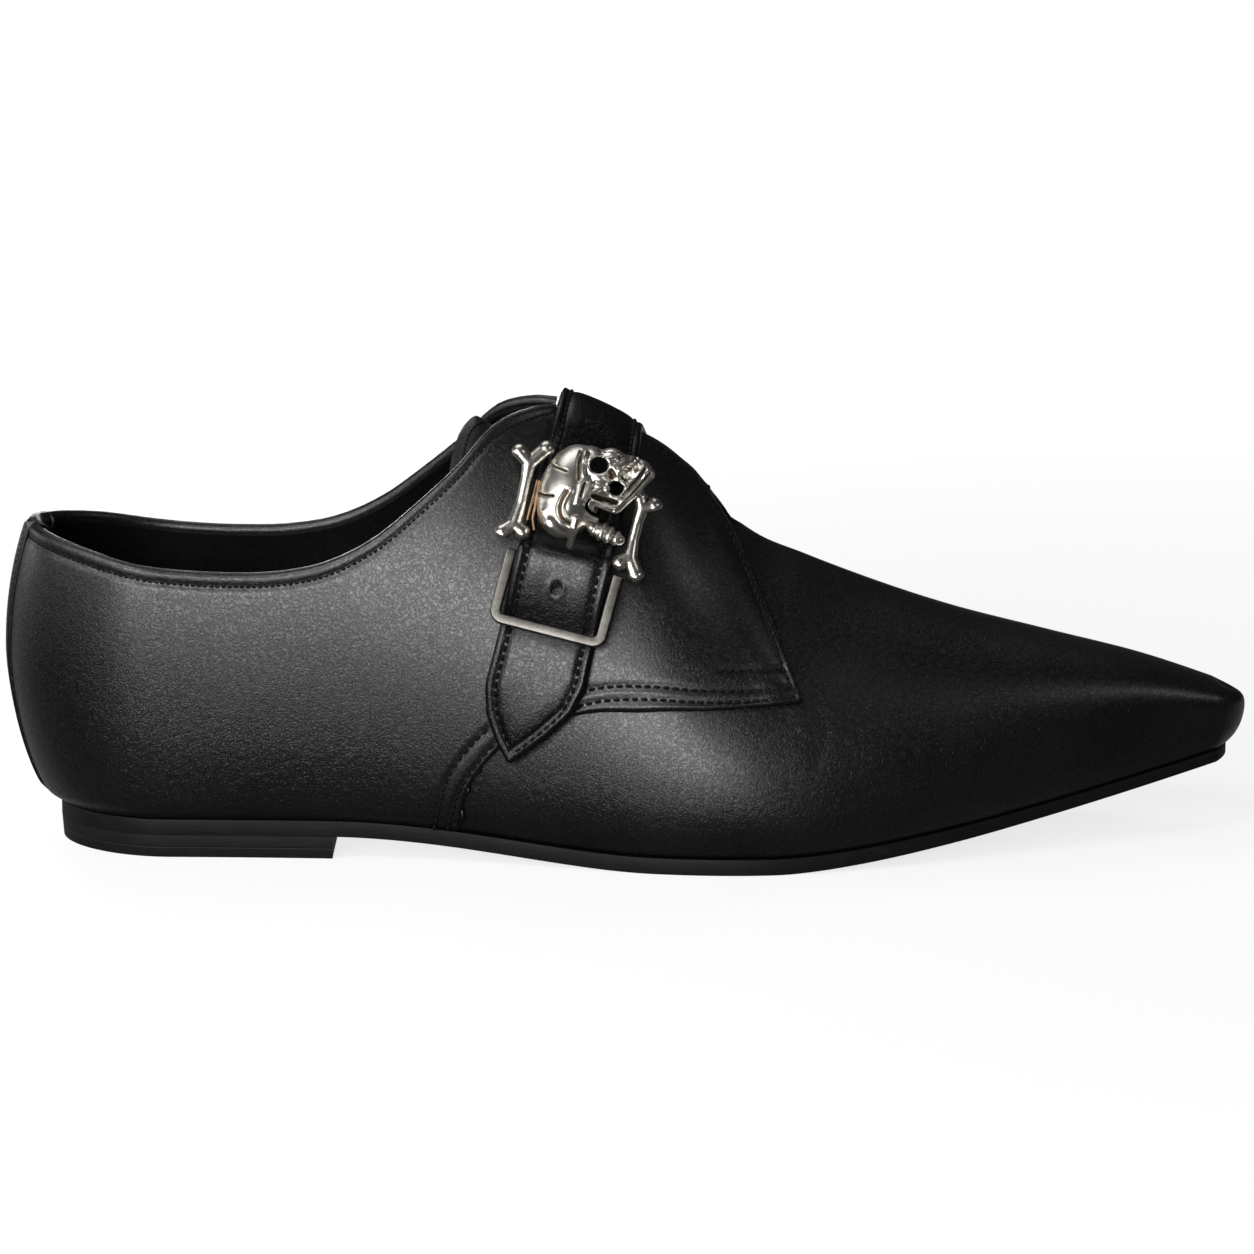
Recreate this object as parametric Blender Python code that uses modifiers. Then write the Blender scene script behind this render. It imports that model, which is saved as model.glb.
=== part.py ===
"""Pointed monk-strap shoe for the right foot: thin leather sole with a low heel, a lasted upper with
derby quarters, and a strap with a cast buckle over the instep. Sizes are in millimetres in the tables."""

import functools
import math

import bmesh
import bpy
import numpy as np
from mathutils import Matrix, Vector

MM = 0.001

# Overall sizes of the last and the sole
LENGTH = 315.0
HEEL_BACK = 3.0
SOLE_THICK = 4.0
SOLE_TOE_THICK = 2.8
SOLE_MARGIN = 1.0
HEEL_LIFT = 5.7
HEEL_BREAST = 84.0
FLAT_FROM = 165.0
FLAT_TO = 195.0
SOLE_TIP = 309.4
TOE_SPRING = 19.7
SPRING_POWER = 1.45
INSOLE_THICK = 2.5
INSOLE_INSET = 3.2
GAP = 0.3
HEEL_TAPER = 0.4

# How the ends of the last round off, seen from above
HEEL_CAP = 40.0
TOE_CAP = 8.0
BACK_TUCK = 11.5
TOE_TUCK = 5.6
BACK_RISE = 18.0
CONE_LEAN = 60.0
RIDGE_STOP = 4.0

# How finely the last is measured
LOWER_POINTS = 41
UPPER_POINTS = 121
SLOPE_S = 0.0015
SLOPE_SHARE = 0.004
END = 0.00002
SEAM = 0.000004

# Leather
WALL = 1.8
QUARTER_THICK = 1.3
QUARTER_GAP = 0.55
MEDIAL_GAP = 0.8
EDGE_SHARE = 0.004
STRIP_THICK = 0.9
STRIP_HALF = 7.0
STRIP_GAP = 0.65
STRIP_LOW = 0.06
STRAP_THICK = 2.6
STRAP_GAP = 0.65
TONGUE_THICK = 1.6
TONGUE_GAP = 0.9
TONGUE_FROM = 0.428
TONGUE_TO = 0.6
TONGUE_REACH = 0.22
SLOT_HALF = 5.0
SLOT_FROM = 0.43
SLOT_TO = 0.59
SLOT_ROUND = 0.02
MEDIAL_COLLAR_RISE = 1.5
MEDIAL_RISE_END = 0.4

# Rows and columns of the leather sheets
UPPER_ROWS = 11
TONGUE_ROWS = 11
QUARTER_ROWS = 8
QUARTER_BENDS = (0.375, 0.386, 0.425, 0.435, 0.448, 0.478, 0.496, 0.535)
STRIP_COLUMNS = 9
STRIP_ROWS = 10
STRAP_ROWS = 39
STRAP_COLUMNS = 5

# Buckle
FRAME_WIDE = 29.6
FRAME_TALL = 27.0
FRAME_BAR = 2.4
FRAME_THICK = 1.7
FRAME_CORNER = 3.5
INNER_CORNER = 1.2
FRAME_LIFT = 0.4
SKULL_LIFT = 3.75
STRAP_LEAN = 0.062
BONE_SHAFT = 1.25
BONE_DEEP = 2.4
BONE_FLARE = 3.0
BONE_KNOB = 2.1
KNOB_DEEP = 2.9
KNOB_APART = 3.4
PRONG_HALF = 1.1
PRONG_DEEP = 2.0
PRONG_LOW = -17.0
PRONG_HIGH = -13.3
PRONG_X = -2.2
SKULL_VOXEL = 1.15
BONE_VOXEL = 0.62
PRONG_VOXEL = 0.5
KEEP_FACES = 0.27

# Middle of the floor outline, which becomes the origin
CENTRE_X = 157.5
CENTRE_Y = -1.2


def table(columns, *rows):
    return {name: np.array([row[i] for row in rows]) for i, name in enumerate(columns.split())}


# A row for each section of the last, s running from the heel (0) to the toe (1)
SECTIONS = table(
    "s lateral medial tuck_lateral tuck_medial rise ridge_z ridge_y lower upper",
    (0.00, 30.0, 30.0, 4.5, 4.5, 20.0, 125.0, 0.0, 1.6, 2.0),
    (0.10, 31.5, 31.5, 4.5, 4.5, 20.0, 125.0, 0.0, 1.7, 1.9),
    (0.20, 32.5, 31.5, 4.5, 4.5, 20.0, 125.0, 0.0, 1.8, 1.8),
    (0.28, 34.0, 31.0, 4.5, 5.0, 19.0, 125.0, 0.0, 1.8, 1.8),
    (0.36, 37.0, 31.0, 4.5, 6.5, 18.0, 123.0, 1.0, 1.8, 1.75),
    (0.44, 42.5, 33.0, 4.5, 7.0, 15.0, 112.0, 2.5, 1.8, 1.7),
    (0.48, 45.8, 35.8, 4.5, 6.5, 13.5, 106.5, 3.5, 1.8, 1.7),
    (0.52, 48.5, 39.5, 4.5, 6.0, 12.5, 98.5, 4.5, 1.8, 1.7),
    (0.56, 50.0, 43.3, 4.5, 5.0, 11.8, 86.2, 5.2, 1.8, 1.7),
    (0.60, 50.0, 46.5, 4.5, 4.5, 11.0, 76.0, 6.0, 1.8, 1.75),
    (0.64, 48.2, 47.6, 4.5, 4.5, 10.6, 70.5, 6.3, 1.8, 1.8),
    (0.68, 45.0, 47.0, 4.5, 4.5, 10.5, 65.5, 6.5, 1.8, 1.85),
    (0.76, 36.0, 41.5, 4.5, 4.5, 11.5, 56.8, 6.0, 1.8, 2.1),
    (0.84, 25.5, 32.0, 4.5, 4.5, 13.5, 50.3, 5.0, 1.8, 2.4),
    (0.92, 15.0, 21.5, 4.0, 4.0, 13.5, 44.2, 4.0, 1.8, 2.6),
    (1.00, 5.0, 12.0, 3.5, 3.5, 9.5, 36.0, 3.5, 1.8, 2.6),
)

# Height of the collar edge above the floor
COLLAR = table(
    "s height",
    (0.00, 81.0),
    (0.05, 77.8),
    (0.10, 74.6),
    (0.14, 73.2),
    (0.18, 72.6),
    (0.22, 73.0),
    (0.26, 75.6),
    (0.30, 82.0),
    (0.33, 89.5),
    (0.36, 97.8),
    (0.39, 106.0),
    (0.42, 110.5),
    (0.44, 111.6),
    (0.46, 113.0),
)

# Lower edge of a quarter, as a share of the girth from the sole (0) to the ridge (1)
QUARTER_LOW = table(
    "s share",
    (0.000, 0.040),
    (0.358, 0.040),
    (0.364, 0.065),
    (0.370, 0.106),
    (0.380, 0.150),
    (0.393, 0.189),
    (0.408, 0.224),
    (0.462, 0.302),
    (0.514, 0.323),
    (0.553, 0.352),
    (0.600, 0.393),
    (0.634, 0.417),
)

# Front edge of a quarter, from the throat down to its corner
QUARTER_FRONT = table(
    "s share",
    (0.556, 0.950),
    (0.572, 0.910),
    (0.590, 0.787),
    (0.612, 0.613),
    (0.624, 0.515),
    (0.634, 0.436),
)

# Two edges of the strap, from its point up the lateral side and over the ridge, where girth passes 1
STRAP = table(
    "rear_s rear_girth front_s front_girth",
    (0.4025, 0.178, 0.4055, 0.174),
    (0.3935, 0.215, 0.4300, 0.228),
    (0.3860, 0.262, 0.4544, 0.290),
    (0.3850, 0.320, 0.4655, 0.350),
    (0.3930, 0.400, 0.4685, 0.395),
    (0.4000, 0.480, 0.4735, 0.455),
    (0.4140, 0.650, 0.4850, 0.620),
    (0.4290, 0.815, 0.4975, 0.790),
    (0.4377, 0.950, 0.5030, 0.930),
    (0.4440, 1.080, 0.5080, 1.060),
    (0.4560, 1.250, 0.5200, 1.230),
    (0.4680, 1.420, 0.5330, 1.400),
)

# Where the buckle sits on the strap: station and girth
SEATS = {"frame": (0.4415, 0.545), "ornament": (0.4640, 0.715)}

# Domes that the skull is melted from, seen from above, with Y up the strap
SKULL = table(
    "x y half_wide half_tall deep turn",
    (-3.5, -1.0, 11.0, 12.0, 8.5, 0.0),
    (4.5, 4.5, 9.5, 8.0, 7.5, 30.0),
    (9.5, 7.5, 6.0, 6.5, 5.5, 30.0),
    (3.0, -6.0, 6.0, 5.0, 5.0, 0.0),
)

# The two bones beside it
BONES = table(
    "x low high lift",
    (-17.2, -15.0, 9.5, 1.2),
    (14.2, -19.0, -1.5, 0.65),
)


def smooth_column(tab, name, s):
    """A column of a table at station s, by a cubic through its rows."""
    stations = tab["s"]
    values = tab[name]
    slopes = np.gradient(values, stations)
    i = int(np.clip(np.searchsorted(stations, s, side="right") - 1, 0, len(stations) - 2))
    step = stations[i + 1] - stations[i]
    t = min(max((s - stations[i]) / step, 0.0), 1.0)
    start = (1 + 2 * t) * (1 - t) ** 2 * values[i] + t * (1 - t) ** 2 * step * slopes[i]
    end = t * t * (3 - 2 * t) * values[i + 1] + t * t * (t - 1) * step * slopes[i + 1]
    return start + end


def sole_bottom(x):
    """Height of the sole's underside: heel seat, waist, flat ball and toe spring."""
    if x <= HEEL_BREAST:
        return HEEL_LIFT
    if x < FLAT_FROM:
        t = (x - HEEL_BREAST) / (FLAT_FROM - HEEL_BREAST)
        return HEEL_LIFT * (1 - t * t * (3 - 2 * t))
    if x <= FLAT_TO:
        return 0.0
    return TOE_SPRING * ((x - FLAT_TO) / (SOLE_TIP - FLAT_TO)) ** SPRING_POWER


def sole_top(x):
    t = min(max((x - FLAT_TO) / (SOLE_TIP - FLAT_TO), 0.0), 1.0)
    return sole_bottom(x) + SOLE_THICK + (SOLE_TOE_THICK - SOLE_THICK) * t


def end_turns(s):
    """How far the heel's and the toe's rounding have turned: 1 at the very end, 0 where it stops."""
    x = (LENGTH - HEEL_BACK) * s
    heel = max(0.0, 1 - x / HEEL_CAP)
    toe = max(0.0, 1 - (LENGTH - HEEL_BACK - x) / TOE_CAP)
    return heel, toe, math.sqrt(max(0.0, 1 - max(heel, toe) ** 2))


def plan(s):
    lateral = smooth_column(SECTIONS, "lateral", s)
    medial = smooth_column(SECTIONS, "medial", s)
    return HEEL_BACK + (LENGTH - HEEL_BACK) * s, (medial - lateral) / 2, (medial + lateral) / 2


def sole_edge(side, s, inset):
    """Point of the feather line in plan, moved inwards by inset. side is -1 lateral, 1 medial."""
    heel, toe, width = end_turns(s)
    x, middle, half = plan(s)
    tuck = smooth_column(SECTIONS, "tuck_lateral" if side < 0 else "tuck_medial", s)
    return (
        x + (BACK_TUCK + inset) * heel - (TOE_TUCK + inset) * toe,
        middle + side * (half - tuck - inset) * width,
    )


@functools.lru_cache(maxsize=None)
def rib(side, s):
    """The last's wall at station s, from the feather line up to the ridge, and its points' girth shares."""
    heel, toe, width = end_turns(s)
    x, middle, half = plan(s)
    feather = np.array([*sole_edge(side, s, 0.0), 0.0])
    feather[2] = sole_top(feather[0]) + GAP
    rise = smooth_column(SECTIONS, "rise", s) + BACK_RISE * heel
    widest = np.array([x, middle + side * half * width, feather[2] + rise])
    ridge = np.array([
        x + CONE_LEAN * heel - RIDGE_STOP * toe,
        smooth_column(SECTIONS, "ridge_y", s),
        smooth_column(SECTIONS, "ridge_z", s),
    ])
    points = []
    for end, name, turns in (
        (feather, "lower", np.linspace(math.pi / 2, 0, LOWER_POINTS)),
        (ridge, "upper", np.linspace(0, math.pi / 2, UPPER_POINTS)[1:]),
    ):
        power = 2 / smooth_column(SECTIONS, name, s)
        across = 1 - np.abs(np.cos(turns)) ** power
        up = np.sin(turns) ** power
        steps = np.stack([across, across, up], axis=1)
        points.append(widest + steps * (end - widest))
    points = np.concatenate(points)
    run = np.concatenate([[0.0], np.cumsum(np.linalg.norm(np.diff(points, axis=0), axis=1))])
    return points, run / run[-1]


def wall(side, s, share):
    points, shares = rib(side, s)
    return np.array([np.interp(share, shares, points[:, k]) for k in range(3)])


def wall_offset(side, s, share, offset):
    """A point of the wall moved outwards by offset."""
    u = wall(side, min(s + SLOPE_S, 1.0), share) - wall(side, max(s - SLOPE_S, 0.0), share)
    v = wall(side, s, min(share + SLOPE_SHARE, 1.0)) - wall(side, s, max(share - SLOPE_SHARE, 0.0))
    normal = np.cross(u, v) * -side
    return wall(side, s, share) + offset * normal / np.linalg.norm(normal)


def over(s, girth, offset):
    """A point at a girth that runs up the lateral side to 1 at the ridge and on down the medial side."""
    if girth <= 1.0:
        return wall_offset(-1, s, girth, offset)
    return wall_offset(1, s, 2.0 - girth, offset)


@functools.lru_cache(maxsize=None)
def opening(side, s):
    """Girth share where the upper stops: at the collar, beside the throat slot, or at the ridge."""
    points, shares = rib(side, s)
    share = 1.0
    if s < COLLAR["s"][-1]:
        height = smooth_column(COLLAR, "height", s)
        if side > 0:
            height += MEDIAL_COLLAR_RISE * math.sin(min(s / MEDIAL_RISE_END, 1.0) * math.pi)
        share = min(share, float(np.interp(height, points[:, 2], shares)))
    if SLOT_FROM <= s < SLOT_TO:
        t = min((SLOT_TO - s) / SLOT_ROUND, 1.0)
        half = SLOT_HALF * math.sqrt(1 - (1 - t) ** 2)
        away = np.abs(points[:, 1] - points[-1, 1])[::-1][:UPPER_POINTS]
        share = min(share, float(np.interp(half, away, shares[::-1][:UPPER_POINTS])))
    return share


def stations(first, last):
    """Stations of the sections, close together where the heel and the toe round off."""
    heel_end = HEEL_CAP / (LENGTH - HEEL_BACK)
    toe_start = 1 - TOE_CAP / (LENGTH - HEEL_BACK)
    turns = np.linspace(0, math.pi / 2, 9)
    found = list(heel_end * (1 - np.cos(turns)))
    found += list(np.linspace(heel_end, toe_start, 31)[1:-1])
    found += [SLOT_TO - 0.6 * SLOT_ROUND, SLOT_TO - 0.2 * SLOT_ROUND, SLOT_TO]
    found += list(1 - (1 - toe_start) * (1 - np.cos(np.linspace(math.pi / 2, 0, 6))))
    return sorted(s for s in found if first < s < last)


for old in list(bpy.data.objects):
    bpy.data.objects.remove(old, do_unlink=True)
shoe = bpy.data.collections.new("poulaine_shoe")
bpy.context.scene.collection.children.link(shoe)
root = bpy.data.objects.new("shoe_root", None)
root.location = (-CENTRE_X * MM, -CENTRE_Y * MM, 0.0)
shoe.objects.link(root)


def material(name, colour, roughness, metallic=0.0):
    made = bpy.data.materials.new(name)
    made.use_nodes = True
    shader = made.node_tree.nodes["Principled BSDF"]
    shader.inputs["Base Color"].default_value = (*colour, 1.0)
    shader.inputs["Roughness"].default_value = roughness
    shader.inputs["Metallic"].default_value = metallic
    return made


LEATHER = material("upper_leather", (0.015, 0.015, 0.016), 0.45)
VAMP = material("vamp_leather", (0.018, 0.018, 0.019), 0.42)
LINING = material("insole_leather", (0.03, 0.028, 0.026), 0.6)
SOLE = material("sole_leather", (0.02, 0.019, 0.018), 0.55)
RUBBER = material("heel_block", (0.012, 0.012, 0.012), 0.6)
TONGUE = material("tongue_leather", (0.016, 0.016, 0.017), 0.5)
STRIP = material("strip_leather", (0.014, 0.014, 0.015), 0.45)
STRAP_LEATHER = material("strap_leather", (0.017, 0.017, 0.018), 0.38)
STEEL = material("frame_metal", (0.55, 0.52, 0.47), 0.35, 1.0)
SILVER = material("skull_metal", (0.62, 0.58, 0.52), 0.3, 1.0)
BONE = material("bone_metal", (0.6, 0.56, 0.5), 0.32, 1.0)
PIN = material("prong_metal", (0.58, 0.54, 0.48), 0.32, 1.0)


def place(name, mesh, look, parent=root):
    made = bpy.data.objects.new(name, mesh)
    made.data.materials.append(look)
    made.parent = parent
    shoe.objects.link(made)
    return made


def loft(name, patches):
    """One mesh from grids of points in millimetres, joined where their edges meet."""
    shape = bmesh.new()
    for grid in patches:
        rows = [[shape.verts.new(Vector(point) * MM) for point in row] for row in grid]
        for low, high in zip(rows, rows[1:]):
            for a, b, c, d in zip(low, low[1:], high[1:], high):
                shape.faces.new((a, b, c, d))
    bmesh.ops.remove_doubles(shape, verts=shape.verts, dist=1e-6)
    bmesh.ops.dissolve_degenerate(shape, edges=shape.edges, dist=1e-7)
    mesh = bpy.data.meshes.new(name)
    shape.to_mesh(mesh)
    shape.free()
    mesh.shade_smooth()
    return mesh


def sheet(name, patches, thick, look):
    """A leather sheet that thickens outwards from its grids, or inwards where thick is negative."""
    made = place(name, loft(name, patches), look)
    solid = made.modifiers.new("thickness", "SOLIDIFY")
    solid.thickness = abs(thick) * MM
    solid.offset = math.copysign(1.0, thick)
    solid.use_even_offset = True
    return made


def slab(name, first, last, inset_low, inset_high, low, high, look):
    """A sole layer between two stations, as a ladder of cross-sections."""
    shape = bmesh.new()
    rungs = []
    for s in [first] + stations(first, last) + [last]:
        corners = []
        for side, inset, height in (
            (-1, inset_low, low),
            (1, inset_low, low),
            (1, inset_high, high),
            (-1, inset_high, high),
        ):
            x, y = sole_edge(side, s, inset)
            corners.append(shape.verts.new(Vector((x, y, height(x))) * MM))
        rungs.append(corners)
    for rear, front in zip(rungs, rungs[1:]):
        for k in range(4):
            shape.faces.new((rear[k], rear[k - 3], front[k - 3], front[k]))
    shape.faces.new(rungs[0])
    shape.faces.new(rungs[-1][::-1])
    bmesh.ops.remove_doubles(shape, verts=shape.verts, dist=1e-6)
    bmesh.ops.recalc_face_normals(shape, faces=shape.faces)
    mesh = bpy.data.meshes.new(name)
    shape.to_mesh(mesh)
    shape.free()
    return place(name, mesh, look)


# Sole, heel and insole
slab("outsole", END, 1 - END, -SOLE_MARGIN, -SOLE_MARGIN, sole_bottom, sole_top, SOLE)
BREAST_S = (HEEL_BREAST - HEEL_BACK) / (LENGTH - HEEL_BACK)
slab(
    "heel",
    END,
    BREAST_S,
    HEEL_TAPER - SOLE_MARGIN,
    -SOLE_MARGIN,
    lambda x: 0.0,
    lambda x: HEEL_LIFT - GAP,
    RUBBER,
)
slab(
    "insole",
    END,
    1 - END,
    INSOLE_INSET,
    INSOLE_INSET,
    lambda x: sole_top(x) + GAP,
    lambda x: sole_top(x) + GAP + INSOLE_THICK,
    LINING,
)

# Upper: both walls of the last, open at the collar, the throat and underneath
ALL = [0.0] + stations(0.0, 1.0) + [1.0]
walls = []
for side in (-1, 1):
    grid = []
    for s in ALL[::side]:
        shares = np.linspace(0, opening(side, s), UPPER_ROWS + 1)
        grid.append([wall(side, s, share) for share in shares])
    walls.append(grid)
sheet("upper", walls, -WALL, VAMP)

# Tongue: under the throat slot
under = -(WALL + TONGUE_GAP)
tongue = [
    [over(s, girth, under) for girth in np.linspace(1 + TONGUE_REACH, 1 - TONGUE_REACH, TONGUE_ROWS)]
    for s in np.linspace(TONGUE_FROM, TONGUE_TO, TONGUE_ROWS)
]
sheet("tongue", [tongue], -TONGUE_THICK, TONGUE)

# Quarters: lie over the vamp from the back seam to the flap's corner
ON_QUARTER = QUARTER_GAP + QUARTER_THICK
DERBY_FOOT = QUARTER_LOW["s"][1]
columns = [SEAM, *stations(SEAM, DERBY_FOOT - END), *QUARTER_LOW["s"][1:], *QUARTER_FRONT["s"][:-1]]
columns = sorted([*columns, *QUARTER_BENDS])
for side, name, gap in ((-1, "quarter_lateral", QUARTER_GAP), (1, "quarter_medial", MEDIAL_GAP)):
    grid = []
    for s in columns:
        low = np.interp(s, QUARTER_LOW["s"], QUARTER_LOW["share"])
        high = opening(side, s) - EDGE_SHARE
        if s > QUARTER_FRONT["s"][0]:
            high = np.interp(s, QUARTER_FRONT["s"], QUARTER_FRONT["share"])
        shares = np.linspace(low, high, QUARTER_ROWS + 1)
        grid.append([wall_offset(side, s, share, gap) for share in shares])
    sheet(name, [grid[::side]], QUARTER_THICK, LEATHER)

# Back strip over the seam of the quarters
HEEL_HALF = SECTIONS["lateral"][0]
STRIP_S = STRIP_HALF ** 2 / (2 * HEEL_HALF ** 2) * HEEL_CAP / (LENGTH - HEEL_BACK)
strip = []
for turn in np.linspace(1, -1, STRIP_COLUMNS):
    side = 1 if turn > 0 else -1
    s = STRIP_S * turn * turn
    shares = np.linspace(STRIP_LOW, opening(side, s) - EDGE_SHARE, STRIP_ROWS)
    strip.append([wall_offset(side, s, share, ON_QUARTER + STRIP_GAP) for share in shares])
sheet("back_strip", [strip[::-1]], STRIP_THICK, STRIP)

# Strap: pointed on the lateral side, over the ridge, ending on the medial quarter
ON_STRAP = ON_QUARTER + STRAP_GAP
band = []
for k in np.linspace(0, len(STRAP["rear_s"]) - 1, STRAP_ROWS):
    rear_s, rear_girth, front_s, front_girth = (
        float(np.interp(k, np.arange(len(column)), column)) for column in STRAP.values()
    )
    band.append([
        over(rear_s + (front_s - rear_s) * t, rear_girth + (front_girth - rear_girth) * t, ON_STRAP)
        for t in np.linspace(0, 1, STRAP_COLUMNS)
    ])
sheet("strap", [band], STRAP_THICK, STRAP_LEATHER)


def seat(name, s, share, lift):
    """An empty on the strap: its Z points out of the leather and its Y up the strap."""
    here = Vector(over(s, share, ON_STRAP + STRAP_THICK + lift)) * MM
    out = Vector(over(s, share, 10.0) - over(s, share, 0.0)).normalized()
    up = Vector(over(s + SLOPE_SHARE * STRAP_LEAN, share + SLOPE_SHARE, 0.0) - over(s, share, 0.0))
    across = up.cross(out).normalized()
    axes = Matrix((across, out.cross(across), out)).transposed()
    made = bpy.data.objects.new(name, None)
    made.location = here
    made.rotation_euler = axes.to_euler()
    made.parent = root
    shoe.objects.link(made)
    return made


FRAME_SEAT = seat("frame_seat", *SEATS["frame"], FRAME_LIFT)
SKULL_SEAT = seat("skull_seat", *SEATS["ornament"], SKULL_LIFT)

# Buckle frame: a flat bar with round corners
outline = bpy.data.curves.new("buckle_frame", "CURVE")
outline.dimensions = "2D"
outline.fill_mode = "BOTH"
outline.extrude = FRAME_THICK / 2 * MM
for inset in (0.0, FRAME_BAR):
    radius = max(FRAME_CORNER - inset, INNER_CORNER)
    corners = []
    for quadrant, (sx, sy) in enumerate(((1, 1), (-1, 1), (-1, -1), (1, -1))):
        for turn in np.linspace(0, 90, 6):
            angle = math.radians(turn + 90 * quadrant)
            corners.append((
                sx * (FRAME_WIDE / 2 - inset - radius) + radius * math.cos(angle),
                sy * (FRAME_TALL / 2 - inset - radius) + radius * math.sin(angle),
            ))
    spline = outline.splines.new("POLY")
    spline.points.add(len(corners) - 1)
    for point, (x, y) in zip(spline.points, corners):
        point.co = (x * MM, y * MM, 0.0, 1.0)
    spline.use_cyclic_u = True
frame = place("buckle_frame", outline, STEEL, FRAME_SEAT)
frame.location = (0.0, 0.0, FRAME_THICK / 2 * MM)


def cast(name, lumps, voxel, look, parent):
    """A cast piece with a flat back, melted together from domes: middle, half sizes, depth and turn."""
    shape = bmesh.new()
    for x, y, rx, ry, rz, turn in lumps:
        ball = bmesh.ops.create_uvsphere(shape, u_segments=28, v_segments=16, radius=1.0)["verts"]
        spin = Matrix.Rotation(math.radians(turn), 4, "Z") @ Matrix.Diagonal((rx, ry, rz, 1.0))
        for vert in ball:
            vert.co = spin @ vert.co + Vector((x, y, 0.0))
            vert.co.z = max(vert.co.z, 0.0)
            vert.co *= MM
    mesh = bpy.data.meshes.new(name)
    shape.to_mesh(mesh)
    shape.free()
    made = place(name, mesh, look, parent)
    melt = made.modifiers.new("melt", "REMESH")
    melt.mode = "VOXEL"
    melt.voxel_size = voxel * MM
    thin = made.modifiers.new("thin_out", "DECIMATE")
    thin.ratio = KEEP_FACES
    return made


# Skull and bones, flat behind, over the frame's upper bar
cast("buckle_skull", list(zip(*SKULL.values())), SKULL_VOXEL, SILVER, SKULL_SEAT)
for name, x, low, high, lift in zip(("buckle_bone_rear", "buckle_bone_front"), *BONES.values()):
    middle = (low + high) / 2
    half = (high - low) / 2
    lumps = [(x, middle, BONE_SHAFT, half, BONE_DEEP, turn) for turn in (0.0, BONE_FLARE, -BONE_FLARE)]
    for knob_x in (x - KNOB_APART / 2, x + KNOB_APART / 2):
        for knob_y in (low, high):
            lumps.append((knob_x, knob_y, BONE_KNOB, BONE_KNOB, KNOB_DEEP, 0.0))
    cast(name, lumps, BONE_VOXEL, BONE, seat(name + "_seat", *SEATS["ornament"], lift))

# Prong: its end shows below the skull
prong_middle = (PRONG_LOW + PRONG_HIGH) / 2
prong_half = (PRONG_HIGH - PRONG_LOW) / 2
prong = (PRONG_X, prong_middle, PRONG_HALF, prong_half, PRONG_DEEP, 0.0)
cast("buckle_prong", [prong], PRONG_VOXEL, PIN, SKULL_SEAT)
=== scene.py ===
import math

import bpy
import numpy as np
from mathutils import Matrix, Vector


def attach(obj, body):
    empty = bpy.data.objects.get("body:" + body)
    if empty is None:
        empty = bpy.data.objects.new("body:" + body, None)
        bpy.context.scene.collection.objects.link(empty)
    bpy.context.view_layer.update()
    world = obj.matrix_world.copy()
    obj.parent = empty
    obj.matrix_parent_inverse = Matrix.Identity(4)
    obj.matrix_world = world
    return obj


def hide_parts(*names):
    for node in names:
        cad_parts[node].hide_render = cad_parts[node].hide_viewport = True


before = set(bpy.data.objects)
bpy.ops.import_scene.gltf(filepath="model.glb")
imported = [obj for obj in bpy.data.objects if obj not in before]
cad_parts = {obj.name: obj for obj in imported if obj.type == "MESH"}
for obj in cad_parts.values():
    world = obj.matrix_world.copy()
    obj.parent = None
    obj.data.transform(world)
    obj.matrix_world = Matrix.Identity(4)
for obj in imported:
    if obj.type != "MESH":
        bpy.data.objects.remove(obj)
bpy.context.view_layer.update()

# Studio: a pale paper floor that glows, so that shadows stay faint, under seven soft boxes. Those in front
# draw the highlights along the lateral side, the high ones trace the top, and the low ones behind show the
# back. The leather mirrors a dim room, which is lighter towards the floor.
MM = 0.001
FLOOR_HALF = 8.0
PAPER_CLOUDS = 0.004
FLOOR_WHITE = (0.21, 0.21, 0.209)
FLOOR_SHADE = (0.2, 0.2, 0.199)
# The floor's glow is painted light: weaker near the shoe, where the lamps light the paper and cast its faint
# shadows, and stronger far off, where their light falls away
GLOW_NEAR = (0.78, 0.78, 0.78)
GLOW_FAR = (1.0, 1.0, 1.0)
GLOW_REACH = (200.0, 1100.0)
ROOM_DIM = 0.02
ROOM_LOW = 0.05
ROOM_LOW_BEHIND = 0.15
HORIZON = (-0.03, 0.0)
BEHIND = (0.0, 0.6)


class Wire:
    """A socket of a shader: arithmetic on wires adds Math nodes, and node() adds any other node."""

    def __init__(self, tree, socket=None):
        self.tree = tree
        self.socket = socket

    def node(self, kind, settings=None, values=None, out=0):
        made = self.tree.nodes.new("ShaderNode" + kind)
        for name, value in (settings or {}).items():
            setattr(made, name, value)
        for name, value in (values or {}).items():
            if isinstance(value, Wire):
                self.tree.links.new(value.socket, made.inputs[name])
            else:
                made.inputs[name].default_value = value
        return Wire(self.tree, made.outputs[out])

    def maths(self, operation, first, second=0.0):
        return self.node("Math", {"operation": operation}, {0: first, 1: second})

    def __add__(self, other):
        return self.maths("ADD", self, other)

    def __radd__(self, other):
        return self.maths("ADD", other, self)

    def __sub__(self, other):
        return self.maths("SUBTRACT", self, other)

    def __rsub__(self, other):
        return self.maths("SUBTRACT", other, self)

    def __mul__(self, other):
        return self.maths("MULTIPLY", self, other)

    def __rmul__(self, other):
        return self.maths("MULTIPLY", other, self)

    def __abs__(self):
        return self.maths("ABSOLUTE", self)

    def between(self, low, high):
        """0 where the value is at low, 1 where it is at high, and smooth in between."""
        return self.node("MapRange", {"interpolation_type": "SMOOTHSTEP"}, {0: self, 1: low, 2: high})

    def mixed(self, dark, light):
        """A colour from dark, where the value is 0, to light, where it is 1."""
        return self.node("Mix", {"data_type": "RGBA"}, {0: self, 6: (*dark, 1.0), 7: (*light, 1.0)}, out=2)

    def noise(self, scale, detail=2.0, rough=0.5):
        values = {"Vector": self, "Scale": scale, "Detail": detail, "Roughness": rough}
        return self.node("TexNoise", None, values)


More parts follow.
